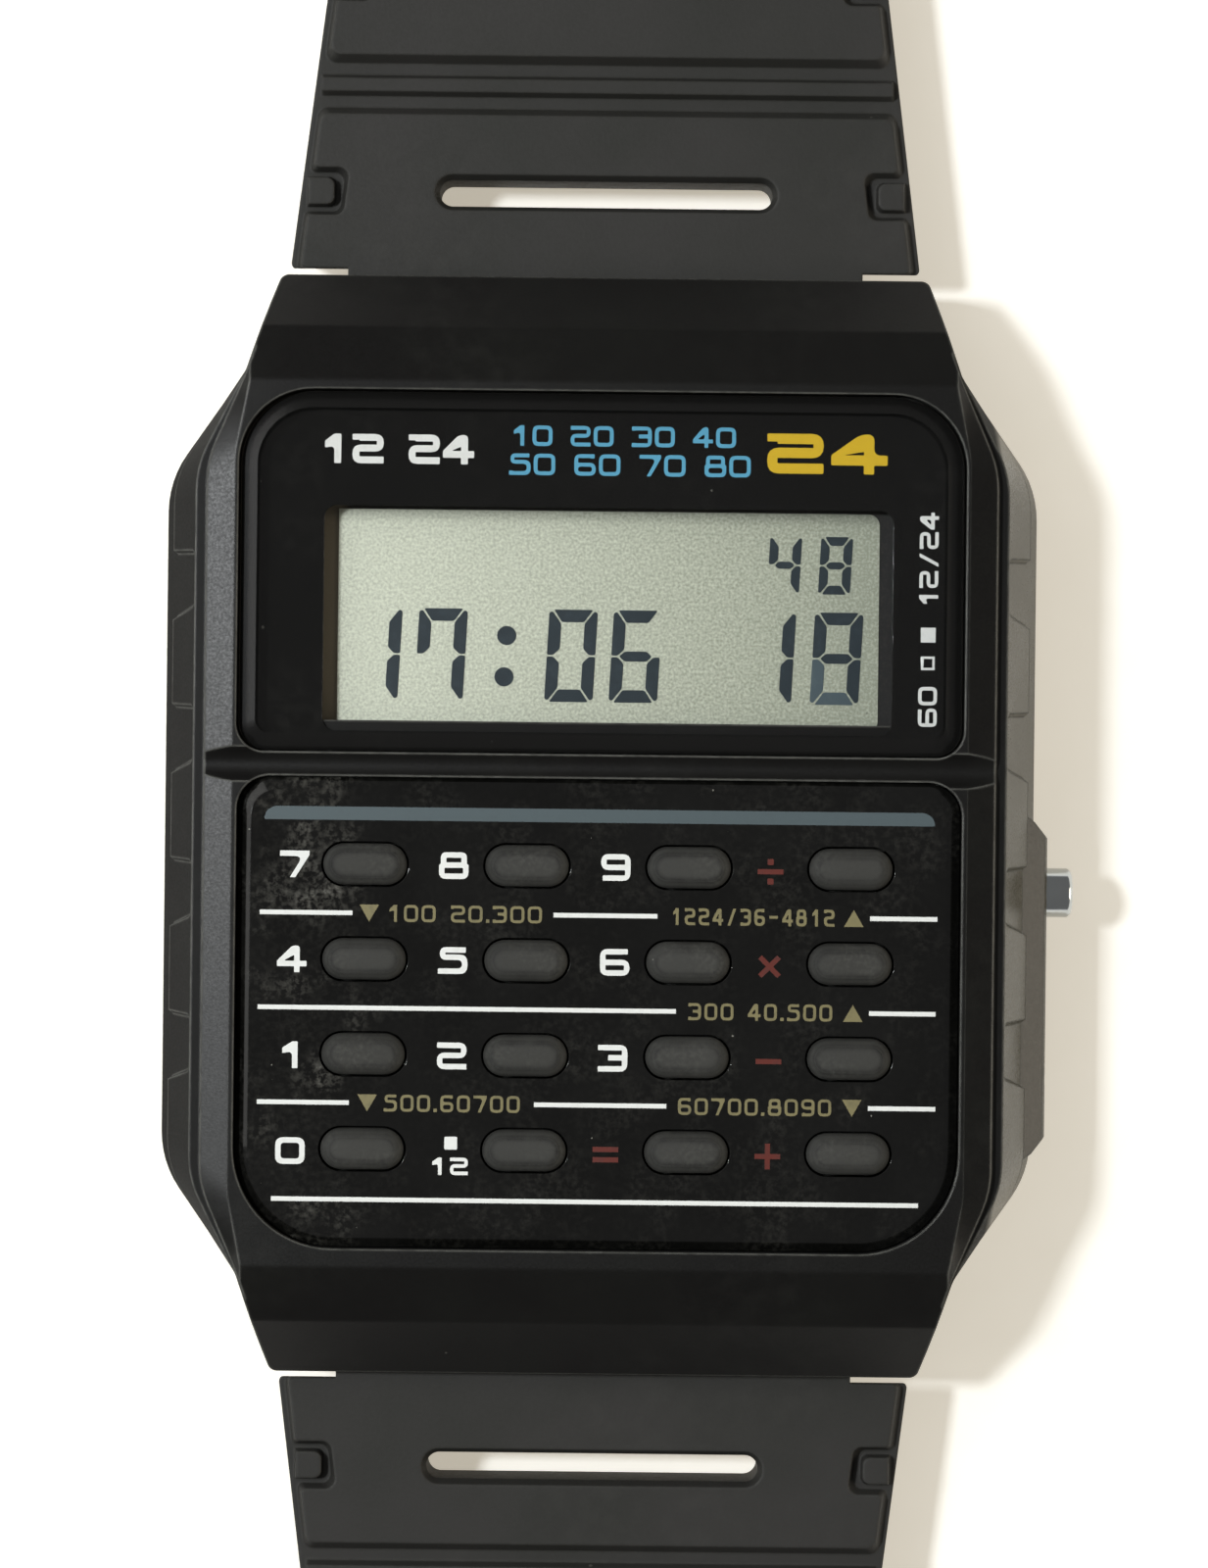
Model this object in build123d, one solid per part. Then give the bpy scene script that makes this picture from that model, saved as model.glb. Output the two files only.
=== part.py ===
from build123d import *
import math
import os

# Calculator wristwatch: resin case, sixteen-key pad, and a strap in two halves that lies open.
# The origin is the centre of the case back's outer face. +X points to three o'clock,
# +Y to twelve o'clock and +Z out of the dial. All lengths are in millimetres.

# Case outline, seen from above
case_length = 43.2
case_width = 34.4
case_thickness = 8.2
end_width = 25.5
hip_half = 14.15
hip_setback = 3.7
flank_setback = 8.1
flank_round = 4.0
hip_round = 2.0

# Case heights and slopes
back_thickness = 0.8
belt_z = 4.2
ledge_z = 7.6
under_slope = 1.3
flank_slope = 1.53
ledge_width = 0.45
bezel_band = 1.1
bezel_fall = 0.28
end_round = 0.4
# How far the ends and hips of the outline follow an inset of the flanks
end_follow_share = 0.10
hip_follow_share = 0.14
hip_drop_share = 0.20
corner_rise_share = 0.30

# Hoods over the strap ends
bezel_flat_setback = 4.35
hood_break_setback = 2.2
hood_break_drop = 0.95
hood_end_drop = 2.9
hood_round = 0.5

# Skirt on the flanks, with castellation notches
skirt_proud = 0.18
skirt_z = 5.3
notch_count = 4
notch_pitch = 6.03
notch_middle_y = 0.27
notch_length = 2.5
notch_height = 2.05
notch_slant = 0.45
notch_lean = 0.1
notch_round = 0.3
notch_wall = 0.14

# Guard boss that carries the two pushers
boss_proud = 0.55
boss_y_high = 0.35
boss_y_low = -12.75
boss_chamfer = 0.65
boss_bottom_z = 1.9
boss_rim_z = 4.45
boss_edge = 0.12

# Windows in the bezel
display_half_width = 14.15
display_y_low = 2.8
display_y_high = 16.9
display_round_high = 2.9
display_round_low = 1.1
keypad_half_width = 14.1
keypad_y_low = -16.5
keypad_y_high = 1.85
keypad_round_high = 1.3
keypad_round_low = 3.9
window_lip = 1.25
throat_round = 1.0
lens_seat_z = 7.1
lens_top_z = 8.0
lens_bevel_width = 0.65
lens_bevel_drop = 0.28
plate_top_z = 7.9
plate_bevel_width = 0.5
plate_bevel_drop = 0.2
mask_thickness = 0.1
glazing_gap = 0.05
view_centre_x = 0.25
view_width = 22.2
view_y_low = 3.64
view_y_high = 12.43
view_round = 0.5

# Saddle groove across the bezel between the two windows
saddle_y = 2.3
saddle_radius = 0.75
saddle_depth = 0.42

# Cavity for the module, open at the back
side_wall = 3.8
end_wall = 5.7
cavity_chamfer = 3.6
cavity_top_z = 6.3
module_gap = 0.2

# Case back, its gasket and screws
back_side_setback = 2.1
back_end_setback = 4.4
back_chamfer = 2.9
back_corner_round = 0.6
back_edge = 0.25
spigot_height = 0.25
spigot_gap = 0.3
gasket_width = 0.5
gasket_height = 0.45
gasket_offset = 0.3
gasket_squeeze_gap = 0.05
back_screw_side_inset = 2.5
back_screw_end_inset = 2.0
back_screw_head_radius = 0.85
back_screw_head_height = 0.4
back_screw_radius = 0.4
back_screw_reach = 3.2
back_screw_sink = 0.05
screw_gap = 0.05
screw_slot_width = 0.3
screw_slot_depth = 0.2

# Keys
key_rows = 4
key_columns = 4
key_length = 3.25
key_width = 1.6
key_pitch_x = 6.3
key_pitch_y = 3.69
key_first_x = -9.08
key_first_y = -1.56
key_proud = 0.3
key_edge = 0.28
key_gap = 0.08
key_flange = 0.35
key_flange_thickness = 0.3
key_flange_gap = 0.05
key_stem_inset = 0.2
key_travel = 0.4
key_names = [
    "key_7", "key_8", "key_9", "key_divide",
    "key_4", "key_5", "key_6", "key_times",
    "key_1", "key_2", "key_3", "key_minus",
    "key_0", "key_point", "key_equals", "key_plus",
]

# Module stack, from the case back upwards
module_bottom_z = 1.1
board_z = 3.8
board_thickness = 0.6
deck_thickness = 0.6
contact_board_thickness = 0.35
mat_thickness = 0.55
mat_rim_width = 0.8
mat_gap = 0.05
mat_y_high = 1.3
stem_hole_gap = 0.1
frame_top_z = 6.2
lcd_width = 23.4
lcd_y_low = 2.2
lcd_y_high = 13.3
lcd_glass_thickness = 0.55
lcd_contact_ledge = 1.6
lcd_pocket_gap = 0.1
reflector_thickness = 0.1
zebra_length = 22.0
zebra_width = 0.9
zebra_inset = 0.3
zebra_gap = 0.1

# Battery, buzzer and small parts of the module
battery_radius = 10.0
battery_thickness = 1.6
battery_x = -1.5
battery_y = -5.2
battery_z = 1.4
battery_edge = 0.25
battery_gap = 0.2
clamp_width = 5.0
clamp_thickness = 0.25
clamp_reach = 1.1
clamp_gap = 0.05
clamp_round = 0.8
buzzer_radius = 7.0
buzzer_thickness = 0.25
buzzer_y = 8.2
buzzer_gap = 0.3
buzzer_spring_x = 4.6
buzzer_spring_radius = 0.7
spring_wire_radius = 0.1
buzzer_spring_turns = 4
chip_radius = 3.0
chip_height = 0.7
chip_x = -7.2
chip_y = 8.4
chip_edge = 0.3
quartz_radius = 0.75
quartz_length = 5.2
quartz_x = 7.4
quartz_y = 11.6
pocket_gap = 0.25
leaf_thickness = 0.15
leaf_width = 3.0
leaf_length = 4.0
leaf_foot = 1.2
module_screw_side_inset = 3.8
module_screw_end_inset = 1.15
module_screw_radius = 0.4
module_screw_head_radius = 0.7
module_screw_head_height = 0.35
module_screw_top_z = 4.9

# Pushers
mode_pusher_y = -2.46
adjust_pusher_y = -9.85
pusher_z = 3.3
pusher_radius = 0.98
pusher_proud = 1.05
adjust_pusher_sink = 0.15
mode_cap_length = 1.9
adjust_cap_length = 0.9
pusher_edge = 0.15
pusher_gap = 0.08
pusher_stem_radius = 0.45
pusher_stem_gap = 0.05
pusher_seat_depth = 2.1
pusher_clip_radius = 0.95
pusher_clip_thickness = 0.2
pusher_stem_tip = 0.25
pusher_ring_gap = 0.02
pusher_ring_wire = 0.15
pusher_spring_radius = 0.72
pusher_spring_turns = 3
contact_gap = 1.3
bay_half_width = 1.3

# Spring bars and the strap recesses in the case
bar_setback = 2.0
bar_z = 2.8
bar_radius = 0.75
bar_tip_radius = 0.4
bar_tip_reach = 0.5
bar_flange_radius = 0.95
bar_flange_width = 0.25
bar_gap = 0.05
lug_gap_width = 20.6
recess_depth = 1.9
recess_top_z = 4.6
recess_round = 0.4
ear_hole_depth = 0.7

# Strap, both halves
tongue_side_gap = 0.1
shoulder_gap = 0.4
shoulder_relief = 0.5
strap_shoulder_width = 25.0
strap_width = 18.0
taper_length = 28.0
strap_base_thickness = 2.3
knuckle_radius = 1.5
strap_corner_round = 0.2
pad_height = 0.5
pad_inset = 0.25
pad_side_slope = 0.18
pad_end_slope = 0.32
pad_round = 0.4
segment_pitch = 8.5
first_slot_offset = 3.45
slot_length_share = 0.545
slot_width = 1.05
slot_chamfer = 0.2
slot_chamfer_depth = 0.4
valley_width = 1.75
rib_width = 0.85
rib_top_width = 0.5
rib_height = 0.4
rib_end_inset = 0.25
edge_notch_length = 1.55
edge_notch_depth = 1.4
edge_notch_round = 0.4
edge_tab_length = 1.2
edge_tab_depth = 1.15
edge_tab_round = 0.3
edge_tab_slope = 0.08

# Twelve o'clock half, with the buckle
strap12_length = 66.0
buckle_pin_z = 2.45
strap12_segments = 6
strap12_slots = 4
prong_notch_width = 3.0
prong_notch_depth = 4.2
buckle_end_reach = 1.2
buckle_end_round = 1.1

# Six o'clock half, with the adjustment holes
tail_length = 115.0
strap6_segments = 4
strap6_shift = 0.4
tail_thickness = 2.0
tail_level_length = 36.0
tail_drop_length = 18.0
tail_bend_radius = 120.0
tail_tip_round = 8.6
tail_edge_round = 0.5
hole_count = 10
hole_pitch = 6.3
first_hole_reach = 41.0
hole_radius = 1.2

# Buckle frame, pin, prong and keeper loop
buckle_side_gap = 0.4
buckle_arm_width = 2.0
buckle_reach = 11.2
buckle_bar_width = 3.0
buckle_eye_radius = 1.7
buckle_bar_height = 2.9
buckle_foot_length = 4.7
buckle_shoulder_y = 5.0
buckle_corner_round = 2.6
buckle_window_round = 0.8
buckle_edge_round = 0.5
pin_radius = 0.7
pin_seat_depth = 1.3
pin_gap = 0.05
prong_width = 1.8
prong_thickness = 0.85
prong_eye_radius = 1.3
prong_reach = 10.3
prong_lift = 0.05
prong_tip_round = 0.35
keeper_setback = 16.6
keeper_length = 5.0
keeper_wall = 0.9
keeper_side_gap = 0.5
keeper_inner_height = 5.2
keeper_round = 1.5
keeper_edge = 0.25

# One overrun serves every cut
overrun = 1.0

# Places that several pieces share
shell_bottom_z = back_thickness
deck_z = board_z + board_thickness
contact_board_z = deck_z + deck_thickness
mat_bottom_z = contact_board_z + contact_board_thickness
mat_top_z = cavity_top_z - mat_gap
lcd_x_low = view_centre_x - lcd_width / 2
lcd_x_high = view_centre_x + lcd_width / 2
hip_y = case_length / 2 - hip_setback
flank_y = case_length / 2 - flank_setback
bezel_flat_y = case_length / 2 - bezel_flat_setback
hood_break_y = case_length / 2 - hood_break_setback
cavity_half_width = case_width / 2 - side_wall
cavity_half_length = case_length / 2 - end_wall
back_half_width = case_width / 2 - back_side_setback
back_half_length = case_length / 2 - back_end_setback
back_screw_x = back_half_width - back_screw_side_inset
back_screw_y = back_half_length - back_screw_end_inset
module_screw_x = cavity_half_width - module_screw_side_inset
module_screw_y = cavity_half_length - module_screw_end_inset
pusher_seat_x = case_width / 2 - pusher_seat_depth
contact_reach_x = cavity_half_width - contact_gap
boss_face_x = case_width / 2 + boss_proud
skirt_edge_x = case_width / 2 - flank_slope * (skirt_z - belt_z) / (ledge_z - belt_z)
bar_y = case_length / 2 - bar_setback
recess_inner_y = bar_y - recess_depth
strap_start_y = case_length / 2 + shoulder_gap
taper_end_y = strap_start_y + taper_length
tail_drop_start = strap_start_y + tail_level_length
tail_drop_end = tail_drop_start + tail_drop_length
buckle_pin_y = bar_y + strap12_length
keeper_y = buckle_pin_y - keeper_setback
strap_bottom_z = bar_z - knuckle_radius
strap_base_top_z = strap_bottom_z + strap_base_thickness
pad_top_z = strap_base_top_z + pad_height
first_slot_y = case_length / 2 + first_slot_offset


def four_way(quadrant):
    """Outline points in all four quadrants, from those of the first one."""
    first = list(quadrant)
    fourth = [(x, -y) for x, y in reversed(first)]
    third = [(-x, -y) for x, y in first]
    second = [(-x, y) for x, y in reversed(first)]
    return first + fourth + third + second


def rounded(points, radii):
    """Face inside a closed outline with a round at each corner."""
    line = FilletPolyline(*points, radius=radii, close=True)
    return make_face(line.edges())


def slab(face, low, high):
    """Plate with the outline of a face, between two heights."""
    return extrude(Pos(0, 0, low) * face, amount=high - low)


def along_x(points, radii, half_width):
    """Prism across the watch from an outline given as (y, z) points."""
    return extrude(Plane.YZ * rounded(points, radii), amount=half_width, both=True)


def block(x_low, x_high, y_low, y_high, z_low, z_high):
    """Box between two corners."""
    centre = Pos((x_low + x_high) / 2, (y_low + y_high) / 2, (z_low + z_high) / 2)
    return centre * Box(x_high - x_low, y_high - y_low, z_high - z_low)


def rod_x(radius, x_low, x_high, y, z):
    """Round rod along X."""
    return Pos((x_low + x_high) / 2, y, z) * Rot(0, 90, 0) * Cylinder(radius, x_high - x_low)


def rod_z(radius, x, y, z_low, z_high):
    """Round rod along Z."""
    return Pos(x, y, (z_low + z_high) / 2) * Cylinder(radius, z_high - z_low)


def window_outline(half_width, y_low, y_high, round_low, round_high, inset):
    """Rounded rectangle with its own corner rounds at the low and high end."""
    half = half_width - inset
    low = y_low + inset
    high = y_high - inset
    points = [(half, high), (half, low), (-half, low), (-half, high)]
    top = max(round_high - inset, throat_round)
    bottom = max(round_low - inset, round_low / 2)
    return rounded(points, [top, bottom, bottom, top])


def display_outline(inset):
    """Outline of the display window, drawn in by an inset."""
    return window_outline(display_half_width, display_y_low, display_y_high,
                          display_round_low, display_round_high, inset)


def keypad_outline(inset):
    """Outline of the keypad window, drawn in by an inset."""
    return window_outline(keypad_half_width, keypad_y_low, keypad_y_high,
                          keypad_round_low, keypad_round_high, inset)


def case_outline(inset):
    """Plan of the case: long flanks, slanted shoulders and a narrower end for the strap."""
    hip_x = hip_half - hip_follow_share * inset
    quadrant = [
        (end_width / 2 - end_follow_share * inset, case_length / 2),
        (hip_x, hip_y - hip_drop_share * inset),
        (case_width / 2 - inset, flank_y + corner_rise_share * inset),
    ]
    radii = [end_round, hip_round, flank_round]
    return rounded(four_way(quadrant), radii + radii[::-1] + radii + radii[::-1])


def case_layer(low, low_inset, high, high_inset):
    """Sloping layer of the case between two heights."""
    return loft([Pos(0, 0, low) * case_outline(low_inset),
                 Pos(0, 0, high) * case_outline(high_inset)], ruled=True)


def chamfered_outline(half_width, half_length, chamfer_length, corner_round):
    """Rectangle with its four corners cut off, for the cavity and what fits it."""
    quadrant = [(half_width - chamfer_length, half_length),
                (half_width, half_length - chamfer_length)]
    return rounded(four_way(quadrant), corner_round)


def cavity_outline(offset):
    """Outline of the cavity, moved out by an offset with its corner cuts kept parallel."""
    corner_cut = cavity_chamfer + offset * (2 - math.sqrt(2))
    return chamfered_outline(cavity_half_width + offset, cavity_half_length + offset,
                             corner_cut, throat_round)


def module_outline(inset):
    """Outline of the cavity, drawn in by an inset."""
    return cavity_outline(-inset)


def notch_outline(middle, growth):
    """Outline of one notch in the flank's slope: along the case, then up the slope."""
    high = middle + notch_length / 2 + growth
    low = middle - notch_length / 2 - growth
    rise = ledge_z - belt_z
    top = notch_height * math.hypot(rise, flank_slope) / rise + growth
    points = [(high, -overrun), (high - notch_lean, top), (low + notch_slant, top),
              (low, -growth), (low, -overrun)]
    return rounded(points, [0, notch_round, notch_round, 0, 0])


def notch_cutters():
    """Castellation notches for the skirts on both flanks, with sloping walls."""
    floor = Plane(origin=(skirt_edge_x, 0, skirt_z), x_dir=(0, 1, 0),
                  z_dir=(ledge_z - belt_z, 0, flank_slope))
    cutters = []
    for index in range(notch_count):
        middle = notch_middle_y + notch_pitch * ((notch_count - 1) / 2 - index)
        right = loft([floor * notch_outline(middle, 0),
                      floor.offset(skirt_proud) * notch_outline(middle, notch_wall)],
                     ruled=True)
        cutters += [right, mirror(right, about=Plane.YZ)]
    return cutters


def skirt():
    """Thin raised layer on the upper flanks, cut by the notches."""
    layer = case_layer(belt_z, -skirt_proud, ledge_z, flank_slope - skirt_proud)
    layer -= block(-case_width, case_width, -case_length, case_length, 0, skirt_z)
    for cutter in notch_cutters():
        layer -= cutter
    return layer


def guard_boss():
    """Boss round the pushers at three o'clock, with slanted ends and a sloping top."""
    root = case_width / 2 - overrun
    points = [(root, boss_y_high + boss_chamfer), (case_width / 2, boss_y_high),
              (boss_face_x, boss_y_high - boss_chamfer),
              (boss_face_x, boss_y_low + boss_chamfer),
              (case_width / 2, boss_y_low), (root, boss_y_low - boss_chamfer)]
    profile = [(root, boss_bottom_z), (boss_face_x, boss_bottom_z), (boss_face_x, boss_rim_z),
               (skirt_edge_x, skirt_z), (root, skirt_z)]
    body = slab(rounded(points, 0), boss_bottom_z, skirt_z)
    body &= extrude(Plane.XZ * rounded(profile, 0), amount=case_length, both=True)
    edges = body.edges().filter_by(Axis.Y).group_by(Axis.X)[-1]
    return chamfer(edges, boss_edge)


def hood_prism():
    """Side profile of the case: flat bezel, two-facet hoods and rounded ears."""
    half = case_length / 2
    top = case_thickness
    profile = [(bezel_flat_y, top), (hood_break_y, top - hood_break_drop),
               (half, top - hood_end_drop), (half, shell_bottom_z)]
    radii = [hood_round, hood_round, 0, bar_z - shell_bottom_z]
    mirror_side = [(-y, z) for y, z in reversed(profile)]
    return along_x(profile + mirror_side, radii + radii[::-1], case_width)


def strap_recess(side):
    """Space under a hood for the tongue of a strap half; side is 1 at twelve o'clock."""
    inner = side * recess_inner_y
    outer = side * (case_length / 2 + overrun)
    points = [(inner, shell_bottom_z - overrun), (inner, recess_top_z),
              (outer, recess_top_z), (outer, shell_bottom_z - overrun)]
    return along_x(points, [0, recess_round, 0, 0], lug_gap_width / 2)


def screw_places(x, y):
    """The four corners where a set of screws goes."""
    return [(sx * x, sy * y) for sy in (1, -1) for sx in (1, -1)]


def gasket_outlines():
    """Outer and inner outline of the gasket groove round the cavity."""
    return cavity_outline(gasket_offset + gasket_width), cavity_outline(gasket_offset)


def pusher_bore(y):
    """Stepped bore for one pusher, from the boss face into the cavity."""
    wide = rod_x(pusher_radius + pusher_gap, pusher_seat_x, boss_face_x + overrun, y, pusher_z)
    narrow = rod_x(pusher_stem_radius + pusher_stem_gap, cavity_half_width - overrun,
                   pusher_seat_x + overrun, y, pusher_z)
    reach = pusher_ring_wire + pusher_ring_gap
    groove = rod_x(ring_radius() + reach, ring_x() - reach, ring_x() + reach, y, pusher_z)
    return wide + narrow + groove


def ring_x():
    """Place of a pusher's sealing ring, midway along the narrow bore."""
    return (cavity_half_width + pusher_seat_x) / 2


def ring_radius():
    """Radius of a pusher's sealing ring, to the middle of its wire."""
    return pusher_stem_radius + pusher_ring_gap + pusher_ring_wire


def case_shell():
    """Resin case in one moulding, with bezel, hoods, ears, boss and bores."""
    body = case_layer(shell_bottom_z, under_slope, belt_z, 0)
    body += case_layer(belt_z, 0, ledge_z, flank_slope)
    body += skirt()
    plateau_inset = flank_slope - skirt_proud + ledge_width
    rim_z = case_thickness - bezel_fall
    body += slab(case_outline(plateau_inset), ledge_z, rim_z)
    body += case_layer(rim_z, plateau_inset, case_thickness, plateau_inset + bezel_band)
    body += guard_boss()
    body &= hood_prism()
    body -= slab(display_outline(0), lens_seat_z, case_thickness + overrun)
    body -= slab(keypad_outline(0), lens_seat_z, case_thickness + overrun)
    body -= slab(display_outline(window_lip), cavity_top_z - overrun, case_thickness)
    body -= slab(keypad_outline(window_lip), cavity_top_z - overrun, case_thickness)
    body -= slab(module_outline(0), 0, cavity_top_z)
    body -= rod_x(saddle_radius, -case_width, case_width, saddle_y,
                  case_thickness - saddle_depth + saddle_radius)
    outer, inner = gasket_outlines()
    groove_top = shell_bottom_z + gasket_height + gasket_squeeze_gap
    body -= slab(outer, 0, groove_top) - slab(inner, 0, groove_top)
    for side in (1, -1):
        body -= strap_recess(side)
        hole_end = lug_gap_width / 2 + ear_hole_depth
        body -= rod_x(bar_tip_radius + bar_gap, -hole_end, hole_end, side * bar_y, bar_z)
    for y in (mode_pusher_y, adjust_pusher_y):
        body -= pusher_bore(y)
    for x, y in screw_places(back_screw_x, back_screw_y):
        body -= rod_z(back_screw_radius + screw_gap, x, y, 0, back_screw_reach + screw_gap)
    return body


def bevelled_plate(outline, low, high, bevel_width, bevel_drop):
    """Glazing plate whose upper rim is bevelled all round."""
    rim = high - bevel_drop
    plate = slab(outline(glazing_gap), low, rim)
    crown = loft([Pos(0, 0, rim) * outline(glazing_gap),
                  Pos(0, 0, high) * outline(glazing_gap + bevel_width)], ruled=True)
    return plate + crown


def display_lens():
    """Clear cover over the display."""
    return bevelled_plate(display_outline, lens_seat_z + mask_thickness, lens_top_z,
                          lens_bevel_width, lens_bevel_drop)


def display_mask():
    """Black film under the lens, with the window for the display."""
    film = slab(display_outline(glazing_gap), lens_seat_z, lens_seat_z + mask_thickness)
    half = view_width / 2
    points = [(view_centre_x + half, view_y_high), (view_centre_x + half, view_y_low),
              (view_centre_x - half, view_y_low), (view_centre_x - half, view_y_high)]
    return film - slab(rounded(points, view_round), 0, case_thickness)


def key_places():
    """Name and centre of each key, row by row from the top left."""
    places = []
    for row in range(key_rows):
        for column in range(key_columns):
            name = key_names[row * key_columns + column]
            places.append((name, key_first_x + column * key_pitch_x,
                           key_first_y - row * key_pitch_y))
    return places


def stadium(x, y, margin):
    """Key-shaped outline, grown by a margin."""
    return Pos(x, y) * SlotOverall(key_length + 2 * margin, key_width + 2 * margin)


def key_block(x, y, margin, low, high):
    """Square-cornered block under a key, grown by a margin from the key's size."""
    half_length = key_length / 2 + margin
    half_width = key_width / 2 + margin
    return block(x - half_length, x + half_length, y - half_width, y + half_width, low, high)


def keypad_plate():
    """Gloss black cover plate with a slot for each key."""
    plate = bevelled_plate(keypad_outline, lens_seat_z, plate_top_z,
                           plate_bevel_width, plate_bevel_drop)
    slots = [slab(stadium(x, y, key_gap), 0, case_thickness) for _, x, y in key_places()]
    return plate - slots


def key_cap(x, y):
    """Rubber key: stadium cap with a sloping rim, flange under the plate and contact stem."""
    flange_top = lens_seat_z - key_flange_gap
    cap = slab(stadium(x, y, 0), flange_top, plate_top_z + key_proud)
    cap = chamfer(cap.faces().sort_by(Axis.Z)[-1].edges(), key_edge)
    flange_bottom = flange_top - key_flange_thickness
    flange = key_block(x, y, key_flange, flange_bottom, flange_top)
    stem_bottom = mat_bottom_z + key_travel + mat_gap
    return cap + flange + key_block(x, y, -key_stem_inset, stem_bottom, flange_bottom)


def keypad_area(inset, low, high):
    """Slab over the lower part of the module, under the keys."""
    area = slab(module_outline(inset), low, high)
    return area & block(-case_width, case_width, -case_length, mat_y_high - inset, low, high)


def key_mat():
    """Rubber mat under the keys: a web with stem holes on a raised rim."""
    mat = keypad_area(module_gap, mat_bottom_z, mat_top_z)
    web_bottom = mat_top_z - mat_thickness
    mat -= keypad_area(module_gap + mat_rim_width, 0, web_bottom)
    margin = stem_hole_gap - key_stem_inset
    holes = [key_block(x, y, margin, 0, case_thickness) for _, x, y in key_places()]
    return mat - holes


def key_contact_board():
    """Thin board with the key contacts, on the deck of the front frame."""
    return keypad_area(module_gap, contact_board_z, mat_bottom_z)


def lcd_panel():
    """Display glass: a lower pane with a contact ledge and a shorter upper pane."""
    lower_top = contact_board_z + lcd_glass_thickness
    lower = block(lcd_x_low, lcd_x_high, lcd_y_low, lcd_y_high, contact_board_z, lower_top)
    upper = block(lcd_x_low, lcd_x_high, lcd_y_low + lcd_contact_ledge, lcd_y_high,
                  lower_top, lower_top + lcd_glass_thickness)
    return lower + upper


def zebra_rows():
    """Places across the watch of the two rubber connector strips."""
    return (lcd_y_low + zebra_inset + zebra_width / 2,
            lcd_y_high - zebra_inset - zebra_width / 2)


def zebra_strip_blocks(gap):
    """Connector strips between the board and the display, grown by a gap for their slots."""
    half_length = zebra_length / 2 + gap
    half_width = zebra_width / 2 + gap
    return [block(view_centre_x - half_length, view_centre_x + half_length,
                  y - half_width, y + half_width, deck_z, contact_board_z)
            for y in zebra_rows()]


def lcd_reflector():
    """Foil behind the display, between the connector strips."""
    low_row, high_row = zebra_rows()
    margin = zebra_width / 2 + 2 * zebra_gap
    half = zebra_length / 2
    return block(view_centre_x - half, view_centre_x + half, low_row + margin,
                 high_row - margin, contact_board_z - reflector_thickness, contact_board_z)


def pusher_bays(low, high):
    """Room at the module's edge for the pusher stems and their contacts."""
    return [block(contact_reach_x - leaf_thickness - screw_gap, case_width, y - bay_half_width,
                  y + bay_half_width, low, high)
            for y in (mode_pusher_y, adjust_pusher_y)]


def module_screw_holes():
    """Clearance holes for the module screws."""
    return [rod_z(module_screw_radius + screw_gap, x, y, 0, module_screw_top_z + screw_gap)
            for x, y in screw_places(module_screw_x, module_screw_y)]


def module_front_frame():
    """Frame that holds the display, with the deck under the key board."""
    frame = slab(module_outline(module_gap), deck_z, frame_top_z)
    frame -= block(-case_width, case_width, -case_length, mat_y_high,
                   contact_board_z, case_thickness)
    gap = lcd_pocket_gap
    frame -= block(lcd_x_low - gap, lcd_x_high + gap, lcd_y_low - gap, lcd_y_high + gap,
                   contact_board_z, case_thickness)
    for slot in zebra_strip_blocks(zebra_gap):
        frame -= slot
    frame -= lcd_reflector()
    frame -= module_screw_holes()
    return frame - pusher_bays(0, pusher_z + pusher_clip_radius + pusher_gap)


def circuit_board():
    """Main board between the two frames."""
    board = slab(module_outline(module_gap), board_z, deck_z)
    board -= module_screw_holes()
    return board - pusher_bays(0, case_thickness)


def controller_chip():
    """Epoxy-covered chip under the board."""
    blob = rod_z(chip_radius, chip_x, chip_y, board_z - chip_height, board_z)
    return chamfer(blob.faces().sort_by(Axis.Z)[0].edges(), chip_edge)


def quartz_can():
    """Quartz crystal in its metal can, lying under the board."""
    return rod_x(quartz_radius, quartz_x - quartz_length / 2, quartz_x + quartz_length / 2,
                 quartz_y, board_z - quartz_radius)


def module_rear_frame():
    """Rear frame with the pockets for the battery, chip, crystal and buzzer."""
    frame = slab(module_outline(module_gap), module_bottom_z, board_z)
    frame -= rod_z(battery_radius + battery_gap, battery_x, battery_y, 0, board_z)
    frame -= rod_z(buzzer_radius + buzzer_gap, 0, buzzer_y, 0,
                   buzzer_base_z() + buzzer_thickness + clamp_gap)
    frame -= rod_z(chip_radius + pocket_gap, chip_x, chip_y,
                   board_z - chip_height - pocket_gap, board_z)
    half = quartz_length / 2 + pocket_gap
    frame -= block(quartz_x - half, quartz_x + half, quartz_y - quartz_radius - pocket_gap,
                   quartz_y + quartz_radius + pocket_gap,
                   board_z - 2 * quartz_radius - pocket_gap, board_z)
    frame -= rod_z(buzzer_spring_radius + spring_wire_radius + pocket_gap, buzzer_spring_x,
                   buzzer_y, 0, board_z)
    frame -= clamp_blank(clamp_gap, 0)
    frame -= module_screw_holes()
    for x, y in screw_places(module_screw_x, module_screw_y):
        frame -= rod_z(module_screw_head_radius + screw_gap, x, y, 0,
                       module_bottom_z + module_screw_head_height + screw_gap)
    return frame - pusher_bays(0, case_thickness)


def clamp_blank(gap, low):
    """Plan of the battery clamp, grown by a gap, from a height to its top face."""
    reach = battery_radius + clamp_reach + gap
    half = clamp_width / 2 + gap
    points = [(battery_x + reach, battery_y + half), (battery_x + reach, battery_y - half),
              (battery_x - reach, battery_y - half), (battery_x - reach, battery_y + half)]
    top = module_bottom_z + clamp_thickness + gap
    return slab(rounded(points, clamp_round), low, top)


def battery_clamp():
    """Steel strip that holds the battery in."""
    return clamp_blank(0, module_bottom_z)


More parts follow.
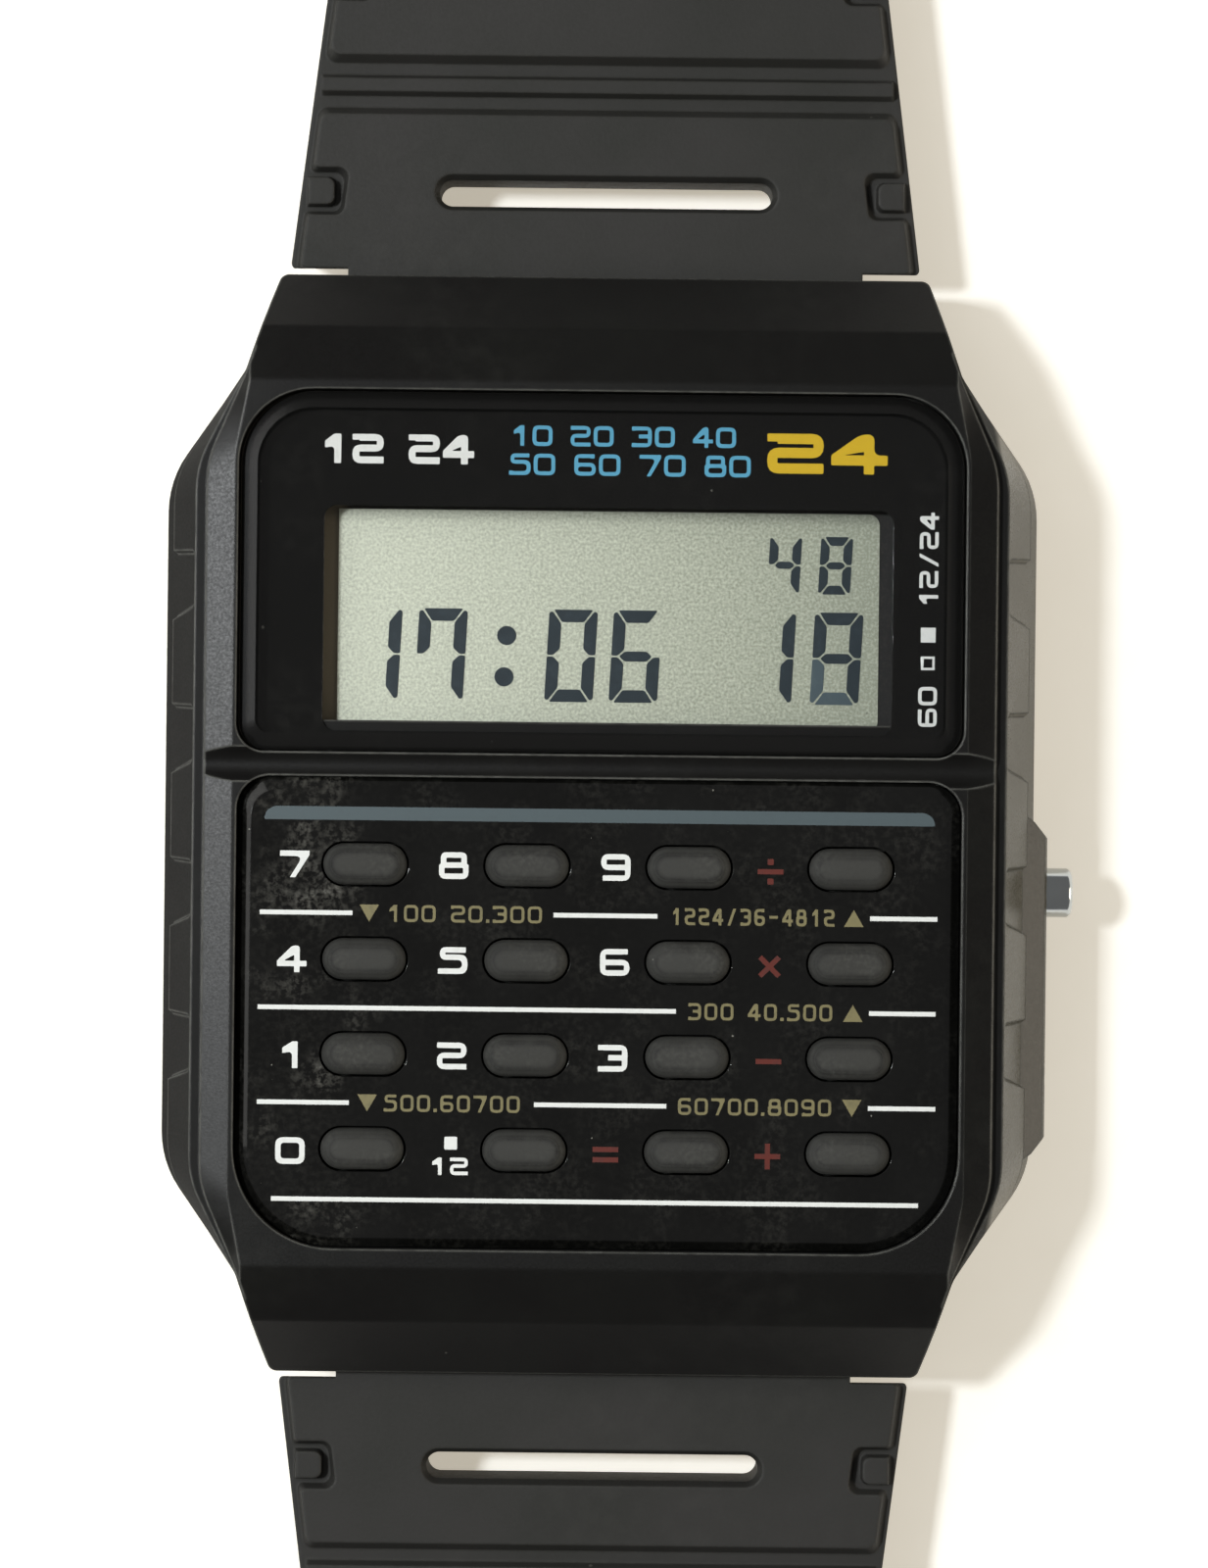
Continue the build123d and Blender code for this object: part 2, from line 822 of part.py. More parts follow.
def battery():
    """Coin cell: a wide can with a chamfered rim."""
    cell = rod_z(battery_radius, battery_x, battery_y, battery_z, battery_z + battery_thickness)
    return chamfer(cell.faces().sort_by(Axis.Z)[-1].edges(), battery_edge)


def battery_contact():
    """Bent leaf from the board down to the cell."""
    cell_top = battery_z + battery_thickness
    start = battery_x - leaf_length / 2
    points = [(start, board_z), (start + leaf_foot, board_z),
              (start + leaf_length, cell_top + leaf_thickness),
              (start + leaf_length, cell_top), (start + leaf_length - leaf_thickness, cell_top),
              (start + leaf_foot, board_z - leaf_thickness), (start, board_z - leaf_thickness)]
    face = Plane.XZ.offset(-battery_y - leaf_width / 2) * rounded(points, 0)
    return extrude(face, amount=leaf_width)


def switch_contacts():
    """Leaf contacts beside the pusher stems, hanging from the board's edge."""
    low = pusher_z - pusher_clip_radius
    return [block(contact_reach_x - leaf_thickness, contact_reach_x, y - pusher_stem_radius,
                  y + pusher_stem_radius, low, deck_z)
            for y in (mode_pusher_y, adjust_pusher_y)]


def buzzer_base_z():
    """Inner face of the case back, where the buzzer is stuck."""
    return shell_bottom_z + spigot_height


def buzzer_disc():
    """Piezo buzzer disc on the case back."""
    base = buzzer_base_z()
    brass = rod_z(buzzer_radius, 0, buzzer_y, base, base + buzzer_thickness / 2)
    ceramic = rod_z(buzzer_radius - buzzer_gap, 0, buzzer_y, base, base + buzzer_thickness)
    return brass + ceramic


def coil(radius, length, turns):
    """Open coil spring of square wire standing on the origin along Z."""
    rise = (length - 2 * spring_wire_radius) / turns
    path = Helix(pitch=rise, height=rise * turns, radius=radius)
    wire = Rectangle(2 * spring_wire_radius, 2 * spring_wire_radius)
    section = Plane(origin=path @ 0, z_dir=path % 0, x_dir=(1, 0, 0)) * wire
    return Pos(0, 0, spring_wire_radius) * sweep(section, path=path)


def buzzer_spring():
    """Coil that joins the buzzer to the board."""
    low = buzzer_base_z() + buzzer_thickness
    return Pos(buzzer_spring_x, buzzer_y, low) * coil(buzzer_spring_radius, board_z - low,
                                                      buzzer_spring_turns)


def slotted_screw(x, y, head_z, head_radius, head_height, shank_radius, top_z):
    """Screw with its head at the back and a driver slot across it."""
    head = rod_z(head_radius, x, y, head_z, head_z + head_height)
    head -= block(x - head_radius, x + head_radius, y - screw_slot_width / 2,
                  y + screw_slot_width / 2, head_z - overrun, head_z + screw_slot_depth)
    return head + rod_z(shank_radius, x, y, head_z + head_height, top_z)


def module_screws():
    """Four screws through both frames and the board."""
    return [slotted_screw(x, y, module_bottom_z, module_screw_head_radius,
                          module_screw_head_height, module_screw_radius, module_screw_top_z)
            for x, y in screw_places(module_screw_x, module_screw_y)]


def case_gasket():
    """Rubber seal between the shell and the case back."""
    outer, inner = gasket_outlines()
    low = shell_bottom_z
    high = low + gasket_height
    return slab(outer, low, high) - slab(inner, low, high)


def case_back():
    """Steel back plate with a raised inner step and countersinks for its screws."""
    outline = chamfered_outline(back_half_width, back_half_length, back_chamfer,
                                back_corner_round)
    plate = slab(outline, 0, back_thickness)
    plate = chamfer(plate.faces().sort_by(Axis.Z)[0].edges(), back_edge)
    plate += slab(module_outline(spigot_gap), back_thickness, buzzer_base_z())
    for x, y in screw_places(back_screw_x, back_screw_y):
        plate -= rod_z(back_screw_radius + screw_gap, x, y, -overrun, buzzer_base_z())
        plate -= rod_z(back_screw_head_radius + screw_gap, x, y, -overrun,
                       back_screw_sink + back_screw_head_height)
    return plate


def case_back_screws():
    """Four screws that hold the case back."""
    return [slotted_screw(x, y, back_screw_sink, back_screw_head_radius,
                          back_screw_head_height, back_screw_radius, back_screw_reach)
            for x, y in screw_places(back_screw_x, back_screw_y)]


def pusher(y, cap_start, cap_end):
    """Steel pusher with a wide cap and a stem that reaches into the cavity."""
    cap = rod_x(pusher_radius, cap_start, cap_end, y, pusher_z)
    cap = chamfer(cap.faces().sort_by(Axis.X)[-1].edges(), pusher_edge)
    stem_end = clip_x() - pusher_clip_thickness - pusher_stem_tip
    return cap + rod_x(pusher_stem_radius, stem_end, cap_start, y, pusher_z)


def clip_x():
    """Outer face of a pusher's clip, just inside the cavity wall."""
    return cavity_half_width - pusher_stem_gap


def pusher_clip(y):
    """Open ring clip on the inner end of a pusher stem."""
    low = clip_x() - pusher_clip_thickness
    clip = rod_x(pusher_clip_radius, low, clip_x(), y, pusher_z)
    clip -= rod_x(pusher_stem_radius, low - overrun, clip_x() + overrun, y, pusher_z)
    mouth = pusher_stem_radius / 2
    return clip - block(low - overrun, clip_x() + overrun, y - mouth, y + mouth,
                        pusher_z - overrun, pusher_z)


def pusher_spring(y, cap_start):
    """Return spring in the wide bore, under a pusher's cap."""
    spring = coil(pusher_spring_radius, cap_start - pusher_seat_x, pusher_spring_turns)
    return Pos(pusher_seat_x, y, pusher_z) * Rot(0, 90, 0) * spring


def pusher_gaskets():
    """Sealing rings round the pusher stems, in grooves in the case wall."""
    low = ring_x() - pusher_ring_wire
    high = ring_x() + pusher_ring_wire
    inner = ring_radius() - pusher_ring_wire
    outer = ring_radius() + pusher_ring_wire
    return [rod_x(outer, low, high, y, pusher_z) -
            rod_x(inner, low - overrun, high + overrun, y, pusher_z)
            for y in (mode_pusher_y, adjust_pusher_y)]


def spring_bar(side):
    """Spring bar between the ears: tube, two flanges and two tips."""
    tip = lug_gap_width / 2 + bar_tip_reach
    half = lug_gap_width / 2 - bar_gap
    tube_half = half - 2 * bar_flange_width
    y = side * bar_y
    bar = rod_x(bar_radius, -half, half, y, bar_z)
    bar += rod_x(bar_tip_radius, -tip, tip, y, bar_z)
    for end in (1, -1):
        near = end * tube_half
        far = end * (tube_half + bar_flange_width)
        bar += rod_x(bar_flange_radius, min(near, far), max(near, far), y, bar_z)
    return bar


def strap_half_width(y):
    """Half the strap's width at a distance from the middle of the case."""
    run = min(max(y - strap_start_y, 0), taper_end_y - strap_start_y)
    share = run / (taper_end_y - strap_start_y)
    return (strap_shoulder_width + (strap_width - strap_shoulder_width) * share) / 2


def strap_plan(end_y, end_round_radius):
    """Plan of a strap half: tongue, shoulders, taper and parallel run, along +Y."""
    tongue = lug_gap_width / 2 - tongue_side_gap
    start = bar_y - knuckle_radius
    half = strap_width / 2
    points = [(tongue, start), (tongue, strap_start_y),
              (strap_shoulder_width / 2, strap_start_y), (half, taper_end_y), (half, end_y)]
    radii = [0, 0, strap_corner_round, tail_tip_round, end_round_radius]
    left = [(-x, y) for x, y in reversed(points)]
    return rounded(points + left, radii + radii[::-1])


def strap_body(profile, radii, end_y, end_round_radius):
    """Strap blank: its side profile cut to its plan."""
    blank = along_x(profile, radii, strap_shoulder_width)
    return blank & slab(strap_plan(end_y, end_round_radius), -overrun, case_thickness)


def segment_y(index, shift):
    """Middle of a raised segment, counted from the case."""
    return first_slot_y + shift + index * segment_pitch


def pad_outline(index, shift, rise_share):
    """Plan of a raised segment at a share of its height, with a notch in each edge."""
    middle = segment_y(index, shift)
    side = pad_side_slope * rise_share
    draw_in = pad_end_slope * rise_share
    notch_low = middle - edge_notch_length / 2 - side
    notch_high = middle + edge_notch_length / 2 + side
    low = middle - (segment_pitch - valley_width) / 2 + draw_in
    high = middle + (segment_pitch - valley_width) / 2 - draw_in
    low_round = pad_round
    if index == 0:
        low = strap_start_y
        low_round = strap_corner_round

    def edge(y):
        return strap_half_width(y) - pad_inset - side

    def floor(y):
        return edge(y) - edge_notch_depth

    points = [(edge(high), high), (edge(notch_high), notch_high),
              (floor(notch_high), notch_high), (floor(notch_low), notch_low),
              (edge(notch_low), notch_low), (edge(low), low)]
    deep = edge_notch_round
    radii = [pad_round, deep / 2, deep, deep, deep / 2, low_round]
    left = [(-x, y) for x, y in reversed(points)]
    return rounded(points + left, radii + radii[::-1])


def raised_segment(index, shift):
    """One raised segment with sloping sides."""
    return loft([Pos(0, 0, strap_base_top_z) * pad_outline(index, shift, 0),
                 Pos(0, 0, pad_top_z) * pad_outline(index, shift, 1)], ruled=True)


def tab_outline(y, inset):
    """Plan of the tab in the edge notch on the right, with its inner corners rounded."""
    outer = strap_half_width(y) - pad_inset - inset
    inner = strap_half_width(y) - pad_inset - edge_tab_depth + inset
    half = edge_tab_length / 2 - inset
    points = [(outer, y + half), (outer, y - half), (inner, y - half), (inner, y + half)]
    return rounded(points, [0, 0, edge_tab_round, edge_tab_round])


def edge_tabs(index, shift):
    """Small raised tabs in the two edge notches of a segment."""
    y = segment_y(index, shift)
    right = loft([Pos(0, 0, strap_base_top_z) * tab_outline(y, 0),
                  Pos(0, 0, pad_top_z) * tab_outline(y, edge_tab_slope)], ruled=True)
    return right + mirror(right, about=Plane.YZ)


def rib(index, shift):
    """Cross rib in the valley after a segment, nearly edge to edge."""
    y = segment_y(index + 1 / 2, shift)
    half = strap_half_width(y) - rib_end_inset
    top = strap_base_top_z + rib_height
    points = [(y - rib_width / 2, strap_base_top_z - rib_height),
              (y - rib_width / 2, strap_base_top_z), (y - rib_top_width / 2, top),
              (y + rib_top_width / 2, top), (y + rib_width / 2, strap_base_top_z),
              (y + rib_width / 2, strap_base_top_z - rib_height)]
    return along_x(points, 0, half)


def slot_cutter(index, shift):
    """Through slot with a wider, sloping mouth on the upper face."""
    y = segment_y(index, shift)
    length = 2 * strap_half_width(y) * slot_length_share
    through = SlotOverall(length, slot_width)
    mouth = SlotOverall(length + 2 * slot_chamfer, slot_width + 2 * slot_chamfer)
    cut = slab(Pos(0, y) * through, -overrun, case_thickness)
    flare = loft([Pos(0, y, pad_top_z - slot_chamfer_depth) * through,
                  Pos(0, y, pad_top_z) * mouth], ruled=True)
    return cut + flare


def shoulder_undercuts():
    """Wedges that cut back the underside of the strap's shoulders beside its tongue."""
    near = strap_start_y - overrun
    far = strap_start_y + shoulder_relief
    points = [(near, -overrun), (near, strap_base_top_z), (strap_start_y, strap_base_top_z),
              (far, strap_bottom_z), (far, -overrun)]
    tongue = lug_gap_width / 2 - tongue_side_gap
    wedge = along_x(points, 0, strap_shoulder_width)
    return wedge - block(-tongue, tongue, near - overrun, far + overrun, -2 * overrun,
                         case_thickness)


def textured(strap, segments, slots, shift):
    """Strap with its raised segments, cross ribs and slots."""
    for index in range(segments):
        strap += raised_segment(index, shift)
        strap += edge_tabs(index, shift)
        strap += rib(index, shift)
    for index in range(slots):
        strap -= slot_cutter(index, shift)
    return strap - shoulder_undercuts()


def bar_bore(strap):
    """Strap with the bore for its spring bar, wider where the bar's flanges turn."""
    tongue = lug_gap_width / 2
    strap -= rod_x(bar_radius + bar_gap, -tongue, tongue, bar_y, bar_z)
    flange_inner = lug_gap_width / 2 - bar_gap - 2 * bar_flange_width - bar_gap
    for end in (1, -1):
        near = end * flange_inner
        far = end * tongue
        strap -= rod_x(bar_flange_radius + bar_gap, min(near, far), max(near, far), bar_y, bar_z)
    return strap


def strap_12():
    """Twelve o'clock half, with the eye for the buckle pin and the slot for the prong."""
    start = bar_y - knuckle_radius
    end = buckle_pin_y + buckle_end_reach
    profile = [(start, strap_bottom_z), (start, bar_z + knuckle_radius),
               (bar_y + knuckle_radius, pad_top_z), (strap_start_y, pad_top_z),
               (strap_start_y, strap_base_top_z),
               (end, strap_base_top_z), (end, strap_bottom_z)]
    radii = [knuckle_radius - bar_gap, knuckle_radius - bar_gap, 0, 0, 0,
             buckle_end_round, buckle_end_round]
    strap = strap_body(profile, radii, end, strap_corner_round)
    strap = textured(bar_bore(strap), strap12_segments, strap12_slots, 0)
    strap -= rod_x(pin_radius + pin_gap, -strap_width, strap_width, buckle_pin_y, buckle_pin_z)
    half = prong_notch_width / 2
    return strap - block(-half, half, buckle_pin_y - prong_notch_depth, end + overrun,
                         -overrun, case_thickness)


def strap_6():
    """Six o'clock half, with the adjustment holes, drawn along +Y and turned round."""
    start = bar_y - knuckle_radius
    end = bar_y + tail_length
    profile = [(start, strap_bottom_z), (start, bar_z + knuckle_radius),
               (bar_y + knuckle_radius, pad_top_z), (strap_start_y, pad_top_z),
               (strap_start_y, strap_base_top_z),
               (tail_drop_start, strap_base_top_z), (tail_drop_end, tail_thickness),
               (end, tail_thickness), (end, 0), (tail_drop_end, 0),
               (tail_drop_start, strap_bottom_z)]
    radii = [knuckle_radius - bar_gap, knuckle_radius - bar_gap, 0, 0, 0, tail_bend_radius,
             tail_bend_radius, tail_edge_round, tail_edge_round, tail_bend_radius,
             tail_bend_radius]
    strap = strap_body(profile, radii, end, tail_tip_round)
    strap = textured(bar_bore(strap), strap6_segments, strap6_segments, strap6_shift)
    for index in range(hole_count):
        y = bar_y + first_hole_reach + index * hole_pitch
        strap -= rod_z(hole_radius, 0, y, -overrun, case_thickness)
    return Rot(0, 0, 180) * strap


def buckle_frame():
    """Resin buckle frame: two eyed arms and an outer bar the prong rests on."""
    inner = strap_width / 2 + buckle_side_gap
    outer = inner + buckle_arm_width
    eye = buckle_eye_radius
    end = buckle_pin_y + buckle_reach
    profile = [(buckle_pin_y - eye, buckle_pin_z - eye), (buckle_pin_y + eye, buckle_pin_z - eye),
               (end - buckle_foot_length, 0), (end, 0), (end, buckle_bar_height),
               (end - buckle_bar_width, buckle_bar_height),
               (buckle_pin_y + buckle_shoulder_y, buckle_pin_z + eye),
               (buckle_pin_y - eye, buckle_pin_z + eye)]
    arm = eye - pin_gap
    radii = [arm, eye, eye, buckle_edge_round, buckle_edge_round, 0, eye, arm]
    blank = along_x(profile, radii, outer)
    plan = rounded([(outer, buckle_pin_y - eye), (-outer, buckle_pin_y - eye), (-outer, end),
                    (outer, end)], [0, 0, buckle_corner_round, buckle_corner_round])
    frame = blank & slab(plan, -overrun, case_thickness)
    window_end = end - buckle_bar_width
    mouth = buckle_pin_y - eye - overrun
    window = rounded([(inner, mouth), (-inner, mouth), (-inner, window_end), (inner, window_end)],
                     [0, 0, buckle_window_round, buckle_window_round])
    frame -= slab(window, -overrun, case_thickness)
    seat = inner + pin_seat_depth
    return frame - rod_x(pin_radius + pin_gap, -seat, seat, buckle_pin_y, buckle_pin_z)


def buckle_pin():
    """Steel pin through the frame's eyes, the strap end and the prong."""
    half = strap_width / 2 + buckle_side_gap + pin_seat_depth - pin_gap
    return rod_x(pin_radius, -half, half, buckle_pin_y, buckle_pin_z)


def buckle_prong():
    """Steel prong: an eye round the pin and a tongue that lies on the outer bar."""
    rest = buckle_bar_height + prong_lift
    tip = buckle_pin_y + prong_reach
    eye_top = buckle_pin_z + prong_eye_radius
    seat = buckle_pin_y + buckle_reach - buckle_bar_width - prong_thickness
    points = [(buckle_pin_y, eye_top), (tip, rest + prong_thickness), (tip, rest),
              (seat, rest), (buckle_pin_y, buckle_pin_z)]
    tongue = along_x(points, [0, prong_tip_round, prong_tip_round, 0, 0], prong_width / 2)
    prong = tongue + rod_x(prong_eye_radius, -prong_width / 2, prong_width / 2,
                           buckle_pin_y, buckle_pin_z)
    return prong - rod_x(pin_radius + pin_gap, -prong_width, prong_width,
                         buckle_pin_y, buckle_pin_z)


def keeper_loop():
    """Resin loop that slides on the strap and holds down the free end."""
    half = strap_width / 2 + keeper_side_gap
    low = keeper_y - keeper_length / 2
    outer_half = half + keeper_wall
    top = 2 * keeper_wall + keeper_inner_height
    outer = rounded([(outer_half, top), (outer_half, 0), (-outer_half, 0), (-outer_half, top)],
                    keeper_round)
    inner = rounded([(half, top - keeper_wall), (half, keeper_wall), (-half, keeper_wall),
                     (-half, top - keeper_wall)], keeper_round - keeper_wall)
    ring = extrude(Plane.XZ.offset(-low - keeper_length) * (outer - inner), amount=keeper_length)
    ends = ring.faces().sort_by(Axis.Y)
    rims = [edge for face in (ends[0], ends[-1]) for edge in face.outer_wire().edges()]
    return chamfer(rims, keeper_edge)


def export(node, shape):
    """Write one node, which may be a group of separate solids."""
    if isinstance(shape, (list, tuple)):
        shape = Compound(children=list(shape))
    export_step(shape, os.path.join("parts", node + ".step"))


def pusher_nodes():
    """The two pushers with their springs and clips."""
    mode_end = boss_face_x + pusher_proud
    adjust_end = boss_face_x - adjust_pusher_sink
    nodes = {}
    for name, y, cap_end, cap_length in (
            ("mode", mode_pusher_y, mode_end, mode_cap_length),
            ("adjust", adjust_pusher_y, adjust_end, adjust_cap_length)):
        cap_start = cap_end - cap_length
        nodes[name + "_pusher"] = pusher(y, cap_start, cap_end)
        nodes[name + "_pusher_spring"] = pusher_spring(y, cap_start)
        nodes[name + "_pusher_clip"] = pusher_clip(y)
    return nodes


def build():
    """Every node of the watch, by name."""
    nodes = {
        "case_shell": case_shell(),
        "display_lens": display_lens(),
        "display_mask": display_mask(),
        "keypad_plate": keypad_plate(),
        "key_mat": key_mat(),
        "key_contact_board": key_contact_board(),
        "lcd_panel": lcd_panel(),
        "lcd_reflector": lcd_reflector(),
        "zebra_strips": zebra_strip_blocks(0),
        "module_front_frame": module_front_frame(),
        "circuit_board": circuit_board(),
        "controller_chip": controller_chip(),
        "quartz_can": quartz_can(),
        "battery_contact": battery_contact(),
        "switch_contacts": switch_contacts(),
        "module_rear_frame": module_rear_frame(),
        "module_screws": module_screws(),
        "battery": battery(),
        "battery_clamp": battery_clamp(),
        "buzzer_disc": buzzer_disc(),
        "buzzer_spring": buzzer_spring(),
        "case_gasket": case_gasket(),
        "case_back": case_back(),
        "case_back_screws": case_back_screws(),
        "pusher_gaskets": pusher_gaskets(),
        "spring_bar_12": spring_bar(1),
        "spring_bar_6": spring_bar(-1),
        "strap_12": strap_12(),
        "strap_6": strap_6(),
        "buckle_frame": buckle_frame(),
        "buckle_pin": buckle_pin(),
        "buckle_prong": buckle_prong(),
        "keeper_loop": keeper_loop(),
    }
    for name, x, y in key_places():
        nodes[name] = key_cap(x, y)
    nodes.update(pusher_nodes())
    return nodes


os.makedirs("parts", exist_ok=True)
for node_name, node_shape in build().items():
    export(node_name, node_shape)
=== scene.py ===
"""Looks of a calculator wristwatch that lies open on pale paper.

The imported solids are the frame. Each sub-assembly has a class that dresses its solids and adds
what is printed, moulded or worn on them. Lengths are in metres, as in the frame, and are
written as millimetres times MM.
"""

import logging
import math
from dataclasses import dataclass, field, replace
from enum import Enum

import bpy
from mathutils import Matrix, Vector


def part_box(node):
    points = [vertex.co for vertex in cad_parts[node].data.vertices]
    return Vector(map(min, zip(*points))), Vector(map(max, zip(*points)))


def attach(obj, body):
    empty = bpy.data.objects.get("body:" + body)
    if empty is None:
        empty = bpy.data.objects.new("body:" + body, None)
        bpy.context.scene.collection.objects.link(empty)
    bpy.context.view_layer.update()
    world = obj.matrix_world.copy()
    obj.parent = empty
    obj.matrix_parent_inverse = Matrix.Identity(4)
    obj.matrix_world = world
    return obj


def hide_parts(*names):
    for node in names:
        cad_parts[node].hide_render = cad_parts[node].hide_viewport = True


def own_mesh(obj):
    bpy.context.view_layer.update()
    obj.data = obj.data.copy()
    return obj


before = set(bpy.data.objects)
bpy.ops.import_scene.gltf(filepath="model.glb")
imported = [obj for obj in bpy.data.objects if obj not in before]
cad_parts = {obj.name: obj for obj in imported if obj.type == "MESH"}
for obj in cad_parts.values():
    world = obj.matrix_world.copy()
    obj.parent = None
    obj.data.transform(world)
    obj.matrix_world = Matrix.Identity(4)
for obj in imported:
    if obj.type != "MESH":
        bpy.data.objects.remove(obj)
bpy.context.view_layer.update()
MM = 0.001
LOG = logging.getLogger("watch")

# Range that most of a noise value lies in
MIDDLE = (0.3, 0.7)
# A Mix node that mixes colours takes them at its sockets 6 and 7
COLOURS = {"output": 2, "data_type": "RGBA"}
# How strongly acrylic bends light
ACRYLIC_INDEX = 1.49

Tree = bpy.types.NodeTree
Socket = bpy.types.NodeSocket
Point = tuple[float, float]
Outline = list[Point]


def linear(hex_colour: str) -> tuple[float, float, float, float]:
    """Turn an sRGB hex colour into linear values.

    Args:
        hex_colour: six hex digits, such as "aab09a".

    Returns:
        Red, green, blue and an alpha of 1, ready for a socket.
    """
    channels = []
    for index in (0, 2, 4):
        value = int(hex_colour[index:index + 2], 16) / 255
        channels.append(value / 12.92 if value <= 0.04045 else ((value + 0.055) / 1.055) ** 2.4)
    return channels[0], channels[1], channels[2], 1.0


def add_node(tree: Tree, kind: str, inputs: dict | tuple = (), output: int | str = 0,
             **settings: object) -> Socket | None:
    """Add a shader node with its settings, values and links.

    Args:
        tree: node tree that gets the node.
        kind: type name of the node, without its "ShaderNode".
        inputs: values, or output sockets to link, in the order of the inputs or by their names.
        output: name or number of the output to use.
        settings: attributes of the node itself.

    Returns:
        That output socket, whose node has the others too.
    """
    node = tree.nodes.new("ShaderNode" + kind)
    for name, value in settings.items():
        setattr(node, name, value)
    for name, value in inputs.items() if isinstance(inputs, dict) else enumerate(inputs):
        if isinstance(value, Socket):
            tree.links.new(value, node.inputs[name])
        else:
            node.inputs[name].default_value = value
    return node.outputs[output] if len(node.outputs) else None


def new_tree(name: str) -> tuple[bpy.types.Material, Tree, Socket]:
    """Start a material.

    Args:
        name: name of the material.

    Returns:
        The material, its empty node tree and its Object coordinates in metres.
    """
    material = bpy.data.materials.new(name)
    material.use_nodes = True
    tree = material.node_tree
    tree.nodes.clear()
    return material, tree, add_node(tree, "TexCoord", output="Object")


def cloud(tree: Tree, place: Socket, size: float, detail: float, source: Point, target: Point,
          form: str = "LINEAR") -> Socket:
    """Add soft patches of a real size.

    Args:
        tree: node tree that gets the patches.
        place: coordinates in metres.
        size: size of one patch, in metres.
        detail: octaves of finer noise.
        source: noise at which a patch begins and is full.
        target: value outside a patch and in its middle.
        form: how the value runs between the two.

    Returns:
        The value.
    """
    haze = add_node(tree, "TexNoise", {"Vector": place, "Scale": 1 / size, "Detail": detail})
    return add_node(tree, "MapRange", (haze, *source, *target), interpolation_type=form)


def edge_mask(tree: Tree, radius: float, keen: float) -> tuple[Socket, Socket]:
    """Find the edges of a shape.

    Args:
        tree: node tree that gets the nodes.
        radius: how far from an edge it is felt, in metres.
        keen: turn of the softened normal that counts as a full edge, as 1 less its cosine.

    Returns:
        The softened normal, and 1 on the edges that falls to 0 away from them.
    """
    faint = keen / 14
    soft = add_node(tree, "Bevel", {"Radius": radius}, samples=6)
    hard = add_node(tree, "NewGeometry", output="Normal")
    agree = add_node(tree, "VectorMath", (soft, hard), "Value", operation="DOT_PRODUCT")
    return soft, add_node(tree, "MapRange", (agree, 1 - faint, 1 - keen, 0, 1))


@dataclass(frozen=True)
class Specks:
    """Dust and lint that settled on a surface.

    Attributes:
        colour: sRGB hex colour of the dust.
        spacing: mean distance between specks, in metres.
        radius_share: size of the largest speck as a share of the spacing.
        film: how much of the colour a thin film of dust adds in its patches.
        film_size: size of those patches, in metres.
        gather_x: where across the watch the film is thickest, in metres, or None.
        gather_reach: how far from there it thins out, in metres.
        gather: how many times thicker the film is there, and far from there.
        cover: how much of the colour a speck shows.
        bare: share of the places that hold no speck.
        finer: how many times finer than its patches the film's lint is.
        dense: how many times denser the film is in its lint.
    """

    colour: str = "8f8e86"
    spacing: float = 0.9 * MM
    radius_share: float = 0.10
    film: float = 0.10
    film_size: float = 4.0 * MM
    gather_x: float | None = None
    gather_reach: float = 3.0 * MM
    gather: Point = (4.2, 0.55)
    cover: float = 0.55
    bare: float = 0.45
    finer: float = 11.0
    dense: float = 4.0

    def over(self, tree: Tree, place: Socket, colour: Socket) -> tuple[Socket, Socket]:
        """Lay the dust over a colour.

        Args:
            tree: node tree that gets the nodes.
            place: coordinates in metres.
            colour: colour of the clean surface.

        Returns:
            The dusty colour, and how much of the surface is dust.
        """
        away = add_node(tree, "TexVoronoi", {"Vector": place, "Scale": 1 / self.spacing},
                        "Distance")
        pick = add_node(tree, "SeparateColor", (away.node.outputs["Color"],))
        reach = add_node(tree, "MapRange", (pick, self.bare, 1.0, 0.0, self.radius_share))
        inside = add_node(tree, "Math", (away, reach), operation="LESS_THAN")
        patches = cloud(tree, place, self.film_size, 3.0, (0.42, 0.72), (0.08, 1), "SMOOTHSTEP")
        lint = cloud(tree, place, self.film_size / self.finer, 5.0, (0.42, 0.78), (0, 1))
        film = add_node(tree, "Math", (patches, lint), operation="MULTIPLY")
        film = add_node(tree, "Math", (film, self.film * self.dense), operation="MULTIPLY")
        if self.gather_x is not None:
            across = add_node(tree, "SeparateXYZ", (place,), "X")
            off = add_node(tree, "Math", (across, -self.gather_x), operation="ADD")
            off = add_node(tree, "Math", (off,), operation="ABSOLUTE")
            thick = add_node(tree, "MapRange", (off, 0, self.gather_reach, *self.gather),
                             interpolation_type="SMOOTHSTEP")
            film = add_node(tree, "Math", (film, thick), operation="MULTIPLY")
        speck = add_node(tree, "Math", (inside, self.cover), operation="MULTIPLY")
        share = add_node(tree, "Math", (speck, film), operation="MAXIMUM", use_clamp=True)
        return add_node(tree, "Mix", {0: share, 6: colour, 7: linear(self.colour)},
                        **COLOURS), share


@dataclass(frozen=True)
class Finish:
    """A material, whose kinds say what their surface is.

    Attributes:
        name: name of the material.
    """

    name: str

    def build(self) -> bpy.types.Material:
        """Make the material.

        Returns:
            The material.
        """
        material, tree, place = new_tree(self.name)
        shader = add_node(tree, "BsdfPrincipled", self.surface(tree, place))
        add_node(tree, "OutputMaterial", {"Surface": shader})
        return material


